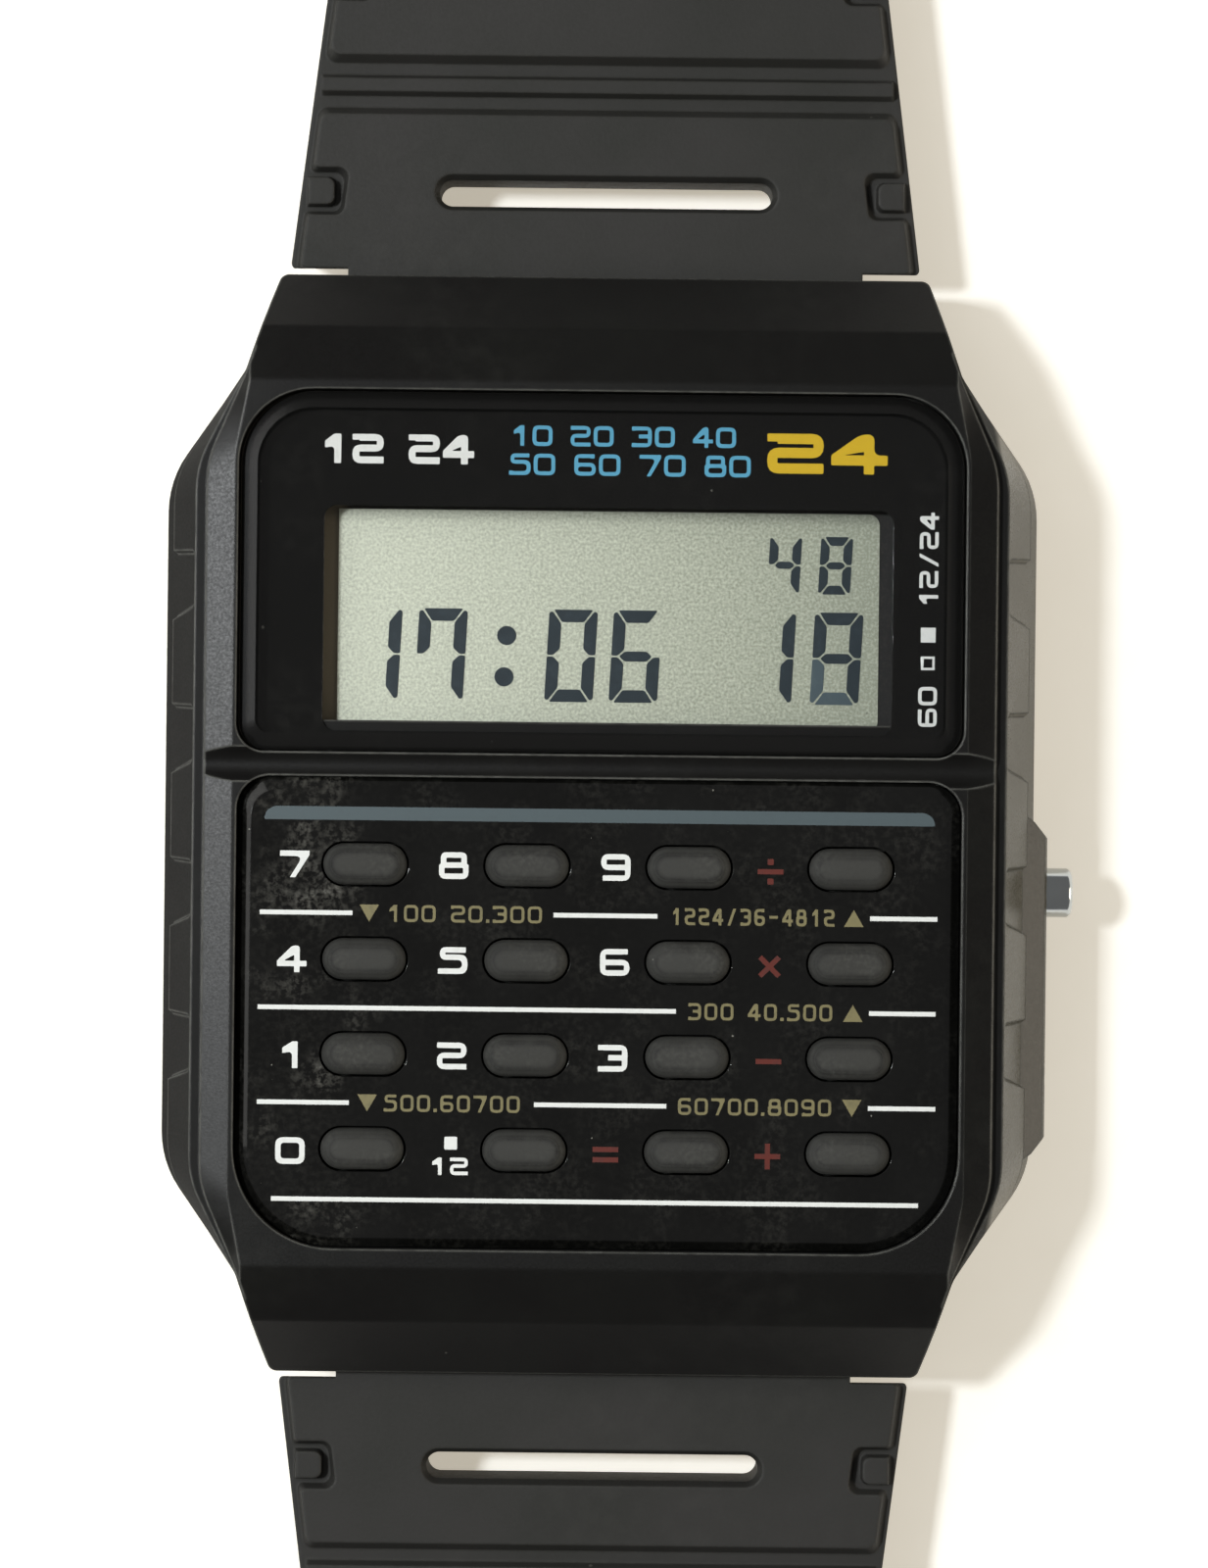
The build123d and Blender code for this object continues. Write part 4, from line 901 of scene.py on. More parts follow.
def figure_outlines(figure: str, wide: float, tall: float, thick: float) -> list[Outline]:
    """Outlines of one squared figure or sign, holes included.

    Args:
        figure: a digit, or one of "-", "/" and ".".
        wide: outer width.
        tall: outer height.
        thick: thickness of the strokes.

    Returns:
        Corners of each outline, from the figure's lower left corner.
    """
    if figure == "9":
        return [[(wide - x, tall - y) for x, y in outline]
                for outline in figure_outlines("6", wide, tall, thick)]
    right = wide - thick
    top = tall - thick
    half = thick / 2
    waist = 0.52 * tall
    belly = 0.6 * tall
    tip = 0.2 * tall
    lean = 0.06 * wide
    one_stem = 0.74 * wide
    one_flag = 0.22 * wide
    flag_high = 0.76 * tall
    three_inner = 0.35 * wide
    four_stem = 0.58 * wide
    four_bar = 0.22 * tall
    seven_foot = 0.34 * wide
    seven_knee = 0.84 * tall
    side = 0.1 * wide
    dot = 1.2 * thick
    outlines = {
        "0": [box_outline(0, 0, wide, tall), box_outline(thick, thick, right, top)],
        "1": [[(one_stem - thick, 0), (one_stem, 0), (one_stem, tall), (one_stem - thick, tall),
               (one_flag, flag_high), (one_flag, flag_high - thick),
               (one_stem - thick, top - 0.8 * thick)]],
        "2": [[(0, 0), (wide, 0), (wide, thick), (thick, thick), (thick, waist - half),
               (wide, waist - half), (wide, tall), (0, tall), (0, tall - tip),
               (thick, tall - tip), (thick, top), (right, top), (right, waist + half),
               (0, waist + half)]],
        "3": [[(0, tip), (0, 0), (wide, 0), (wide, tall), (0, tall), (0, tall - tip),
               (thick, tall - tip), (thick, top), (right, top), (right, waist + half),
               (three_inner, waist + half), (three_inner, waist - half),
               (right, waist - half), (right, thick), (thick, thick), (thick, tip)]],
        "4": [[(four_stem, 0), (four_stem + thick, 0), (four_stem + thick, four_bar),
               (wide, four_bar), (wide, four_bar + thick),
               (four_stem + thick, four_bar + thick), (four_stem + thick, tall),
               (four_stem - 0.35 * thick, tall), (0, four_bar + thick), (0, four_bar),
               (four_stem, four_bar)],
              [(four_stem, four_bar + thick), (four_stem, tall - 1.7 * thick),
               (1.15 * thick, four_bar + thick)]],
        "5": [[(lean, tall), (wide - lean, tall), (wide - lean, top), (lean + thick, top),
               (lean + thick, waist + thick), (wide, waist + thick), (wide, 0), (0, 0),
               (0, tip), (thick, tip), (thick, thick), (right, thick), (right, waist),
               (lean, waist)]],
        "6": [[(0, 0), (wide, 0), (wide, belly), (thick, belly), (thick, top),
               (right - lean, top), (right - lean, tall - tip), (wide - lean, tall - tip),
               (wide - lean, tall), (0, tall)],
              box_outline(thick, thick, right, belly - thick)],
        "7": [[(0, tall), (wide, tall), (wide, seven_knee), (seven_foot + thick, 0),
               (seven_foot, 0), (wide - 1.2 * thick, top), (0, top)]],
        "8": [[(0, 0), (wide, 0), (wide, waist), (wide - lean, waist + lean),
               (wide - lean, tall), (lean, tall), (lean, waist + lean), (0, waist)],
              box_outline(thick, thick, right, waist - half),
              box_outline(lean + thick, waist + half, right - lean, top)],
        "-": [box_outline(side, waist - half, 0.9 * wide, waist + half)],
        "/": [[(side, 0), (side + thick, 0), (0.9 * wide, tall), (0.9 * wide - thick, tall)]],
        ".": [box_outline(0, 0, dot, dot)],
    }
    return outlines.get(figure, [])


@dataclass(frozen=True)
class Row:
    """A row of figures.

    Attributes:
        text: figures, with a space for an empty place.
        left: where the first figure starts along the row.
        middle: middle of the row across it.
        tall: outer height of a figure.
        gap: space between two figures.
        stroke: thickness of the strokes.
        wide: outer width of a figure, or 0 where the row is fitted to a place.
        upright: False for a row that reads upwards.
    """

    text: str
    left: float
    middle: float
    tall: float
    gap: float
    stroke: float
    wide: float = 0.0
    upright: bool = True


@dataclass
class Print:
    """Marks of one ink on one level of the watch.

    Attributes:
        name: name of the piece.
        ink: finish of the marks.
        level: height of the surface that carries them.
        slot: material slot of the record. It is not used.
        height: thickness of the ink.
        strokes: lines of each width, with whether they are closed.
        shapes: filled outlines.
    """

    name: str
    ink: Finishes
    level: float
    slot: str
    height: float = 0.02 * MM
    strokes: dict[float, list[tuple[list[Vector], bool]]] = field(default_factory=dict)
    shapes: list[list[Vector]] = field(default_factory=list)

    def line(self, points: Outline, width: float, closed: bool = False) -> None:
        """Add a stroke.

        Args:
            points: corners of its centre line.
            width: width of the stroke.
            closed: whether it returns to its start.
        """
        corners = rounded([Vector((x, y, 0)) for x, y in points], 0.0, closed)
        self.strokes.setdefault(width, []).append((corners, closed))

    def shape(self, points: Outline, corner: float = 0.0, stub: float = 0.0) -> None:
        """Add a filled shape from its corners, with rounds."""
        self.shapes.append(rounded([Vector((x, y, 0)) for x, y in points], corner, True, stub))

    def figures(self, row: Row) -> None:
        """Add a row of figures.

        Args:
            row: the row.
        """
        low = row.middle - row.tall / 2
        left = row.left
        outer_round = 0.3 * row.tall
        hole_round = 0.12 * row.tall
        for figure in row.text:
            outlines = figure_outlines(figure, row.wide, row.tall, row.stroke)
            for order, outline in enumerate(outlines):
                points = [(left + x, low + y) for x, y in outline]
                if not row.upright:
                    points = [(2 * row.middle - y, x) for x, y in points]
                self.shape(points, hole_round if order else outer_round, 1.3 * row.stroke)
            left += self.advance(figure, row.wide, row.stroke) + row.gap

    @staticmethod
    def advance(figure: str, wide: float, stroke: float) -> float:
        """Room that a figure takes along its row.

        Args:
            figure: the figure, or a space.
            wide: outer width of a figure.
            stroke: thickness of the strokes.

        Returns:
            The room, without the gap after it.
        """
        if figure == " ":
            return 0.6 * wide
        return 1.2 * stroke if figure == "." else wide

    def fitted(self, row: Row, right: float) -> None:
        """Add a row of figures whose width is chosen so that the row fills its place.

        Args:
            row: the row, without the width of a figure.
            right: end of the place along the row.
        """
        room = right - row.left - row.gap * (len(row.text) - 1)
        room -= row.text.count(".") * self.advance(".", 0, row.stroke)
        share = sum(self.advance(figure, 1, 0) for figure in row.text if figure != ".")
        self.figures(replace(row, wide=room / share))

    def build(self, body: str) -> None:
        """Make the piece and let it ride.

        Args:
            body: body that carries the marks.
        """
        parts = [self.flat(lines, width) for width, lines in self.strokes.items()]
        if self.shapes:
            parts.append(self.flat([(points, True) for points in self.shapes], None))
        bpy.ops.object.select_all(action="DESELECT")
        for part in parts:
            part.select_set(True)
        bpy.context.view_layer.objects.active = parts[0]
        if len(parts) > 1:
            bpy.ops.object.join()
        piece = bpy.context.view_layer.objects.active
        piece.name = self.name
        piece.data.name = self.name
        piece.location.z = self.level
        bpy.ops.object.transform_apply(location=True, rotation=False, scale=False)
        bpy.ops.object.shade_smooth_by_angle(angle=math.radians(60))
        dress(piece, self.ink)
        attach(piece, body)
        report(piece)

    def flat(self, lines: list[tuple[list[Vector], bool]],
             width: float | None) -> bpy.types.Object:
        """Make a flat mesh from lines of one width, or from filled outlines.

        Args:
            lines: points of each line and whether it is closed.
            width: width of the strokes, or None for filled outlines.

        Returns:
            A mesh object that rises from height 0 to the ink's height.
        """
        curve = bpy.data.curves.new(self.name + "_line", "CURVE")
        if width is None:
            curve.dimensions = "2D"
            curve.fill_mode = "BOTH"
            curve.extrude = self.height / 2
        else:
            curve.dimensions = "3D"
            curve.bevel_depth = width / 2
            curve.bevel_resolution = 1
            curve.use_fill_caps = True
        for points, closed in lines:
            spline = curve.splines.new("POLY")
            spline.points.add(len(points) - 1)
            for point, place in zip(spline.points, points):
                point.co = (place.x, place.y, 0, 1)
            spline.use_cyclic_u = closed
        piece = bpy.data.objects.new(curve.name, curve)
        bpy.context.scene.collection.objects.link(piece)
        only(piece)
        bpy.ops.object.convert(target="MESH")
        piece = bpy.context.view_layer.objects.active
        if width is not None:
            piece.scale.z = self.height / width
        piece.location.z = self.height / 2
        bpy.ops.object.transform_apply(location=True, rotation=False, scale=True)
        return piece


@dataclass
class Case:
    """Case shell, case back and what fastens and seals them."""

    def build(self) -> None:
        """Dress the case."""
        dress_nodes(Finishes.CASE, "case_shell")
        dress_nodes(Finishes.BRUSHED, "case_back", "case_back_screws")
        dress_nodes(Finishes.SEAL, "case_gasket", "pusher_gaskets")
        dress_nodes(Finishes.POLISHED, "spring_bar_12", "spring_bar_6")


@dataclass(frozen=True)
class DigitLine:
    """A line of seven-segment figures.

    Attributes:
        figures: each figure, with its right edge at the foot in millimetres.
        low: foot of the line.
        wide: outer width of a figure.
        tall: its outer height.
        thick: thickness of a segment.
        fading: segments of the last figure that are half lit.
        slant: lean of a figure, as its run over its rise.
        joint: gap between two segments.
    """

    figures: tuple[tuple[str, float], ...]
    low: float
    wide: float
    tall: float
    thick: float
    fading: str = ""
    slant: float = 0.05
    joint: float = 0.06 * MM

    def segment(self, letter: str, right: float) -> Outline:
        """Corners of one segment of a figure.

        Args:
            letter: a to g, clockwise from the top, with g in the middle.
            right: right edge of the figure at its foot.

        Returns:
            The corners, leaning with the figure.
        """
        wide, tall, thick, gap = self.wide, self.tall, self.thick, self.joint
        half = tall / 2
        lip = thick / 2
        bar = lip * 0.8
        upright = [(wide, half + gap / 2), (wide, tall - lip / 2), (wide - lip / 2, tall - gap),
                   (wide - thick, tall - thick - gap), (wide - thick, half + lip + gap / 2),
                   (wide - lip, half + gap / 2)]
        top = [(lip / 2 + gap, tall), (wide - lip / 2 - gap, tall),
               (wide - thick - gap / 2, tall - thick), (thick + gap / 2, tall - thick)]
        middle = [(lip + gap, half), (thick + gap / 2, half + bar),
                  (wide - thick - gap / 2, half + bar), (wide - lip - gap, half),
                  (wide - thick - gap / 2, half - bar), (thick + gap / 2, half - bar)]
        shapes = {
            "a": top, "g": middle, "b": upright,
            "c": [(x, tall - y) for x, y in upright],
            "d": [(x, tall - y) for x, y in top],
            "e": [(wide - x, tall - y) for x, y in upright],
            "f": [(wide - x, y) for x, y in upright],
        }
        return [(right - wide + x + self.slant * y, self.low + y) for x, y in shapes[letter]]


# Segments that a figure lights: top, upper right, lower right, bottom, lower left, upper
# left and middle are a to g
LIT = {"0": "abcdef", "1": "bc", "4": "fgbc", "6": "afgcde", "7": "fabc", "8": "abcdefg"}


@dataclass
class Display:
    """Lens, mask, display and the marks printed round the window.

    Attributes:
        pane_left: left edge of the polariser sheet.
        pane_right: its right edge.
        pane_low: its lower edge.
        pane_high: its upper edge.
        pane_height: its thickness.
        pane_round: rounds at its right corners.
        lens_side_gap: gap between the lens and the sides of its seat.
        lens_foot_gap: gap between the lens and the floor of its seat.
        segment_round: rounds at the corners of a segment.
        lines: time and date, and the small figures over the date.
        colon: middles of the colon's two dots.
        colon_radius: radius of a dot.
        column: middle of the column of small marks right of the display.
        column_ring: middle, half side and stroke of the hollow square in that column.
        column_square: middle and half side of the filled square in it.
        white_rows: rows of white figures.
        cyan_rows: rows of cyan figures.
        yellow_rows: rows of yellow figures.
    """

    pane_left: float = -10.34 * MM
    pane_right: float = 10.88 * MM
    pane_low: float = 3.78 * MM
    pane_high: float = 12.35 * MM
    pane_height: float = 0.05 * MM
    pane_round: float = 0.45 * MM
    lens_side_gap: float = 0.02 * MM
    lens_foot_gap: float = 0.03 * MM
    segment_round: float = 0.08 * MM
    lines: tuple[DigitLine, ...] = (
        DigitLine((("1", -7.98), ("7", -5.42), ("0", -0.32), ("6", 2.21), ("1", 7.46),
                   ("8", 10.10)), low=4.86 * MM, wide=1.9 * MM, tall=3.62 * MM,
                  thick=0.49 * MM, fading="de"),
        DigitLine((("4", 7.73), ("8", 9.73)), low=9.19 * MM, wide=1.25 * MM, tall=2.26 * MM,
                  thick=0.35 * MM))
    colon: tuple[Point, ...] = ((-3.71 * MM, 7.44 * MM), (-3.80 * MM, 5.82 * MM))
    colon_radius: float = 0.38 * MM
    column: float = 12.76 * MM
    column_ring: tuple[float, float, float] = (6.51 * MM, 0.22 * MM, 0.13 * MM)
    column_square: Point = (7.61 * MM, 0.29 * MM)
    white_rows: tuple[Row, ...] = (
        Row("12 24", left=-11.13 * MM, middle=14.64 * MM, wide=1.22 * MM, tall=1.15 * MM,
            gap=0.12 * MM, stroke=0.27 * MM),
        Row("60", left=4.03 * MM, middle=column, wide=0.72 * MM, tall=0.74 * MM,
            gap=0.12 * MM, stroke=0.14 * MM, upright=False),
        Row("12/24", left=8.69 * MM, middle=column, wide=0.66 * MM, tall=0.74 * MM,
            gap=0.1 * MM, stroke=0.14 * MM, upright=False))
    cyan_rows: tuple[Row, ...] = (
        Row("10 20 30 40", left=-3.67 * MM, middle=15.22 * MM, wide=0.78 * MM, tall=0.8 * MM,
            gap=0.12 * MM, stroke=0.15 * MM),
        Row("50 60 70 80", left=-3.67 * MM, middle=14.10 * MM, wide=0.84 * MM, tall=0.84 * MM,
            gap=0.12 * MM, stroke=0.15 * MM))
    yellow_rows: tuple[Row, ...] = (
        Row("24", left=6.4 * MM, middle=14.63 * MM, wide=2.2 * MM, tall=1.56 * MM,
            gap=0.3 * MM, stroke=0.4 * MM),)

    def build(self) -> None:
        """Dress the display and add its pane, figures and print."""
        self.lens()
        dress_nodes(Finishes.FILM, "display_mask")
        dress_nodes(Finishes.GLASS_EDGE, "lcd_panel")
        dress_nodes(Finishes.FOIL, "lcd_reflector")
        dress_nodes(Finishes.STRIPES, "zebra_strips")
        glass_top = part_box("lcd_panel")[1].z
        self.pane(glass_top)
        self.digits(glass_top + self.pane_height)
        self.marks(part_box("display_mask")[1].z)

    def lens(self) -> None:
        """Add the lens, a hair clear of its seat so that no two faces lie in one plane."""
        piece = stand_in("display_lens", "display_window", Finishes.LENS, "case")
        low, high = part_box("display_lens")
        only(piece)
        bpy.ops.transform.resize(
            value=(1 - 2 * self.lens_side_gap / (high.x - low.x),
                   1 - 2 * self.lens_side_gap / (high.y - low.y),
                   1 - self.lens_foot_gap / (high.z - low.z)),
            center_override=((low.x + high.x) / 2, (low.y + high.y) / 2, high.z))
        bpy.ops.object.transform_apply(location=True, rotation=False, scale=True)
        report(piece)

    def pane(self, level: float) -> None:
        """Add the polariser sheet on the glass, with rounds on its right side only.

        Args:
            level: height of the glass.
        """
        sheet = Print("display_polariser", Finishes.POLARISER, level, "display_glass",
                      self.pane_height)
        radius = self.pane_round
        steps = 6
        points = [Vector((self.pane_left, self.pane_high, 0)),
                  Vector((self.pane_left, self.pane_low, 0))]
        for middle, start in ((self.pane_low + radius, 270), (self.pane_high - radius, 0)):
            for step in range(steps + 1):
                turn = math.radians(start + 90 / steps * step)
                points.append(Vector((self.pane_right - radius + radius * math.cos(turn),
                                      middle + radius * math.sin(turn), 0)))
        sheet.shapes.append(points)
        sheet.build("case")

    def digits(self, level: float) -> None:
        """Add the lit segments on the polariser.

        Args:
            level: height of the polariser.
        """
        lit = Print("display_segments", Finishes.SEGMENT, level, "display_glass")
        fading = Print("display_fading_segments", Finishes.FADING, level, "display_glass")
        for line in self.lines:
            for order, (figure, right) in enumerate(line.figures, start=1):
                for letter in LIT[figure]:
                    weak = order == len(line.figures) and letter in line.fading
                    target = fading if weak else lit
                    target.shape(line.segment(letter, right * MM), self.segment_round)
        for x, y in self.colon:
            turns = [turn * math.tau / 16 for turn in range(16)]
            lit.shape([(x + self.colon_radius * math.cos(turn),
                        y + self.colon_radius * math.sin(turn)) for turn in turns])
        lit.build("case")
        fading.build("case")

    def marks(self, level: float) -> None:
        """Add the print between mask and lens. Plain numbers fill the places of words.

        Args:
            level: height of the mask.
        """
        white = Print("window_marks_white", Finishes.WHITE, level, "printed_film")
        cyan = Print("window_marks_cyan", Finishes.CYAN, level, "printed_film")
        yellow = Print("window_marks_yellow", Finishes.YELLOW, level, "printed_film")
        middle, half, width = self.column_ring
        white.line(square_outline(self.column, middle, half), width, closed=True)
        for ink, rows in ((white, self.white_rows), (cyan, self.cyan_rows),
                          (yellow, self.yellow_rows)):
            for row in rows:
                ink.figures(row)
        white.shape(square_outline(self.column, *self.column_square))
        for ink in (white, cyan, yellow):
            ink.build("case")


@dataclass(frozen=True)
class Legend:
    """A row of khaki figures between two rows of keys, with a triangle beside it.

    Attributes:
        key: a key of the row above it.
        text: its figures.
        left: start of the figures, in millimetres.
        right: end of the figures, in millimetres.
        mark: middle of the triangle, in millimetres.
        up: whether the triangle points up.
    """

    key: str
    text: str
    left: float
    right: float
    mark: float
    up: bool


@dataclass
class Keypad:
    """Gloss plate, sixteen keys, their mat and board, and the printed legends.

    Attributes:
        keys: names of the keys, row by row. Those that are digits have them as labels.
        key_round: width of the rounds on a key's edges.
        label_reach: how far left of its key a label stands.
        nudges: how far a label stands right of and below its place, in millimetres.
        usual_nudge: the same for every other label.
        label: size of a label's figure.
        point_half: half side of the square that labels the point key.
        mark_round: rounds of that square and of the dots of the divide sign.
        point_rise: how far that square stands over its place.
        point_label: small figures under it, placed from there.
        rule_drop: how far a rule runs below the middles of its keys.
        last_rule_lower: how much further the last one does.
        rule_width: thickness of a rule.
        rules: runs of the white rule under a row of keys, in millimetres.
        sign_arm: reach of a red sign from its middle.
        sign_half: half the thickness of its strokes.
        sign_shift: how far left of its place a sign stands.
        sign_drop: how far below its place it stands.
        bar_rise: how far the equals sign's bars are from its middle.
        dot_rise: how far the divide sign's dots are from its middle.
        legends: the khaki rows.
        legend_row: their size.
        triangle_half: half the width of a triangle.
        triangle_tip: half its height.
        stripe_left: left end of the stripe over the keys.
        stripe_right: its right end.
        stripe_low: its lower edge.
        stripe_high: its upper edge.
        stripe_cut: size of its cut upper corners.
    """

    keys: tuple[str, ...] = ("7", "8", "9", "divide", "4", "5", "6", "times",
                             "1", "2", "3", "minus", "0", "point", "equals", "plus")
    key_round: float = 0.1 * MM
    label_reach: float = 2.85 * MM
    nudges: dict[str, Point] = field(default_factory=lambda: {
        "7": (0.11, 0.02), "8": (0, 0.02), "9": (0, 0.02), "4": (0.04, 0.02), "5": (0, 0.02),
        "6": (0, 0.02), "1": (0.03, 0.06), "3": (-0.04, 0.06), "0": (0.05, 0.10)})
    usual_nudge: Point = (0, 0.04)
    label: Row = Row("", left=0, middle=0, wide=1.15 * MM, tall=1.04 * MM, gap=0,
                     stroke=0.215 * MM)
    point_half: float = 0.25 * MM
    mark_round: float = 0.05 * MM
    point_rise: float = 0.3 * MM
    point_label: Row = Row("12", left=-0.86 * MM, middle=-0.6 * MM, wide=0.70 * MM,
                           tall=0.68 * MM, gap=0.14 * MM, stroke=0.14 * MM)
    rule_drop: float = 1.90 * MM
    last_rule_lower: float = 0.07 * MM
    rule_width: float = 0.18 * MM
    rules: dict[str, tuple[Point, ...]] = field(default_factory=lambda: {
        "7": ((-13.16, -9.55), (-1.73, 2.31), (10.58, 13.2)),
        "4": ((-13.2, 3.07), (10.58, 13.17)),
        "1": ((-13.19, -9.61), (-2.41, 2.74), (10.58, 13.2)),
        "0": ((-12.6, 12.57),)})
    sign_arm: float = 0.5 * MM
    sign_half: float = 0.1 * MM
    sign_shift: float = 0.28 * MM
    sign_drop: float = 0.08 * MM
    bar_rise: float = 0.2 * MM
    dot_rise: float = 0.38 * MM
    legends: tuple[Legend, ...] = (
        Legend("7", "100 20.300", -8.23, -2.18, -8.9, False),
        Legend("7", "1224/36-4812", 2.83, 9.2, 9.95, True),
        Legend("4", "300 40.500", 3.55, 9.15, 9.95, True),
        Legend("1", "500.60700", -8.25, -2.96, -8.9, False),
        Legend("1", "60700.8090", 3.19, 9.15, 9.95, False))
    legend_row: Row = Row("", left=0, middle=0, tall=0.66 * MM, gap=0.13 * MM,
                          stroke=0.11 * MM)
    triangle_half: float = 0.38 * MM
    triangle_tip: float = 0.33 * MM
    stripe_left: float = -13.05 * MM
    stripe_right: float = 13.1 * MM
    stripe_low: float = 0.15 * MM
    stripe_high: float = 0.67 * MM
    stripe_cut: float = 0.42 * MM

    def build(self) -> None:
        """Dress the keypad and add its print."""
        dress_nodes(Finishes.PANEL, "keypad_plate")
        dress_nodes(Finishes.KEY, "key_mat")
        dress_nodes(Finishes.BOARD, "key_contact_board")
        for key in self.keys:
            cap = stand_in("key_" + key, "cap_" + key, Finishes.KEY, "key_" + key)
            soften(cap, self.key_round)
        self.add_white()
        self.add_signs()
        self.add_legends()
        self.add_stripe()

    @staticmethod
    def ink(name: str, finish: Finishes) -> Print:
        """Start a print on the plate."""
        return Print(name, finish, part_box("keypad_plate")[1].z, "gloss_panel")

    def centre(self, key: str) -> Point:
        """Middle of a key, seen from above."""
        low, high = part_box("key_" + key)
        return (low.x + high.x) / 2, (low.y + high.y) / 2

    def label_place(self, key: str) -> Point:
        """Middle of the place for a key's label, left of the key.

        Args:
            key: name of the key.

        Returns:
            Its place across and along the watch.
        """
        x, y = self.centre(key)
        shift, drop = self.nudges.get(key, self.usual_nudge)
        return x - self.label_reach + shift * MM, y - drop * MM

    def add_white(self) -> None:
        """Add the figures, the point and the rules between the rows."""
        ink = self.ink("keypad_marks_white", Finishes.WHITE)
        for key in self.keys:
            x, y = self.label_place(key)
            if key.isdigit():
                ink.figures(replace(self.label, text=key, left=x - self.label.wide / 2,
                                    middle=y))
        x, y = self.label_place("point")
        ink.shape(square_outline(x, y + self.point_rise, self.point_half), self.mark_round)
        ink.figures(replace(self.point_label, left=x + self.point_label.left,
                            middle=y + self.point_label.middle))
        for key, runs in self.rules.items():
            y = self.centre(key)[1] - self.rule_drop
            if key == "0":
                y -= self.last_rule_lower
            for start, end in runs:
                ink.line([(start * MM, y), (end * MM, y)], self.rule_width)
        ink.build("case")

    def add_signs(self) -> None:
        """Add the signs of the five operations in dark red."""
        ink = self.ink("keypad_marks_red", Finishes.RED)
        arm, half = self.sign_arm, self.sign_half
        for key in ("divide", "times", "minus", "plus", "equals"):
            x, y = self.label_place(key)
            x -= self.sign_shift
            y -= self.sign_drop
            if key == "plus":
                ink.shape(cross_outline(x, y, arm, half, 0))
            elif key == "times":
                ink.shape(cross_outline(x, y, arm * 1.05, half, 45))
            else:
                bars = (self.bar_rise, -self.bar_rise) if key == "equals" else (0,)
                for rise in bars:
                    ink.shape(box_outline(x - arm, y + rise - half, x + arm, y + rise + half))
            if key == "divide":
                for rise in (self.dot_rise, -self.dot_rise):
                    ink.shape(square_outline(x, y + rise, 1.2 * half), self.mark_round)
        ink.build("case")

    def add_legends(self) -> None:
        """Add the khaki legends in the rules. Plain numbers fill the places of words."""
        ink = self.ink("keypad_marks_khaki", Finishes.KHAKI)
        for legend in self.legends:
            y = self.centre(legend.key)[1] - self.rule_drop
            ink.fitted(replace(self.legend_row, text=legend.text, left=legend.left * MM,
                               middle=y), legend.right * MM)
            x = legend.mark * MM
            tip = self.triangle_tip if legend.up else -self.triangle_tip
            ink.shape([(x - self.triangle_half, y - tip), (x + self.triangle_half, y - tip),
                       (x, y + tip)])
        ink.build("case")

    def add_stripe(self) -> None:
        """Add the blue-grey stripe over the keys, with rounds at its upper corners."""
        ink = self.ink("keypad_stripe", Finishes.BLUE_GREY)
        left, right, cut = self.stripe_left, self.stripe_right, self.stripe_cut
        shoulder = self.stripe_high - cut * 0.4
        ink.shape([(left, self.stripe_low), (right, self.stripe_low),
                   (right - cut * 0.3, shoulder), (right - cut, self.stripe_high),
                   (left + cut, self.stripe_high), (left + cut * 0.3, shoulder)], 0.12 * MM)
        ink.build("case")


@dataclass
class Module:
    """What works inside: frames, board, cell, buzzer and contacts."""

    def build(self) -> None:
        """Dress the module."""
        dress_nodes(Finishes.GREY_PLASTIC, "module_front_frame", "module_rear_frame")
        dress_nodes(Finishes.BOARD, "circuit_board")
        dress_nodes(Finishes.EPOXY, "controller_chip")
        dress_nodes(Finishes.PLATED, "quartz_can", "battery")
        dress_nodes(Finishes.SPRING, "battery_contact", "switch_contacts", "buzzer_spring",
                    "battery_clamp", "module_screws")
        dress_nodes(Finishes.BRASS, "buzzer_disc")


@dataclass
class Pushers:
    """The two steel pushers with their springs and clips.

    Attributes:
        travel: how far a pusher goes in. It is not used.
        seat_x: where across the watch the springs are seated. It is not used.
        edge_round: width of the rounds on a pusher's edges.
    """

    travel: float = 0.6 * MM
    seat_x: float = 15.1 * MM
    edge_round: float = 0.05 * MM

    def build(self) -> None:
        """Dress the pushers, and give each return coil a mesh of its own."""
        for name in ("mode", "adjust"):
            pusher = stand_in(name + "_pusher", name + "_pusher_turned", Finishes.POLISHED,
                              name + "_pusher")
            soften(pusher, self.edge_round)
            dress_nodes(Finishes.SPRING, name + "_pusher_clip")
            node = name + "_pusher_spring"
            coil = stand_in(node, name + "_return_coil", Finishes.SPRING, "case")
            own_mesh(coil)
            report(coil)


@dataclass
class Strap:
    """Both strap halves, the keeper and the buckle."""

    def build(self) -> None:
        """Dress the strap."""
        dress_nodes(Finishes.STRAP, "strap_12", "strap_6", "keeper_loop", "buckle_frame")
        dress_nodes(Finishes.POLISHED, "buckle_pin", "buckle_prong")


@dataclass(frozen=True)
class Lamp:
    """A square soft lamp that faces the watch.

    Attributes:
        name: name of the lamp.
        place: where it stands.
        size: length of its side.
        power: watts.
        colour: its light's colour.
    """

    name: str
    place: tuple[float, float, float]
    size: float
    power: float
    colour: tuple[float, float, float]

    def build(self) -> None:
        """Hang the lamp and turn it to the watch."""
        bpy.ops.object.light_add(type="AREA", location=self.place)
        lamp = bpy.context.view_layer.objects.active
        lamp.name = self.name
        lamp.data.shape = "SQUARE"
        lamp.data.size = self.size
        lamp.data.energy = self.power
        lamp.data.color = self.colour
        lamp.rotation_euler = (-Vector(self.place)).to_track_quat("-Z", "Y").to_euler()


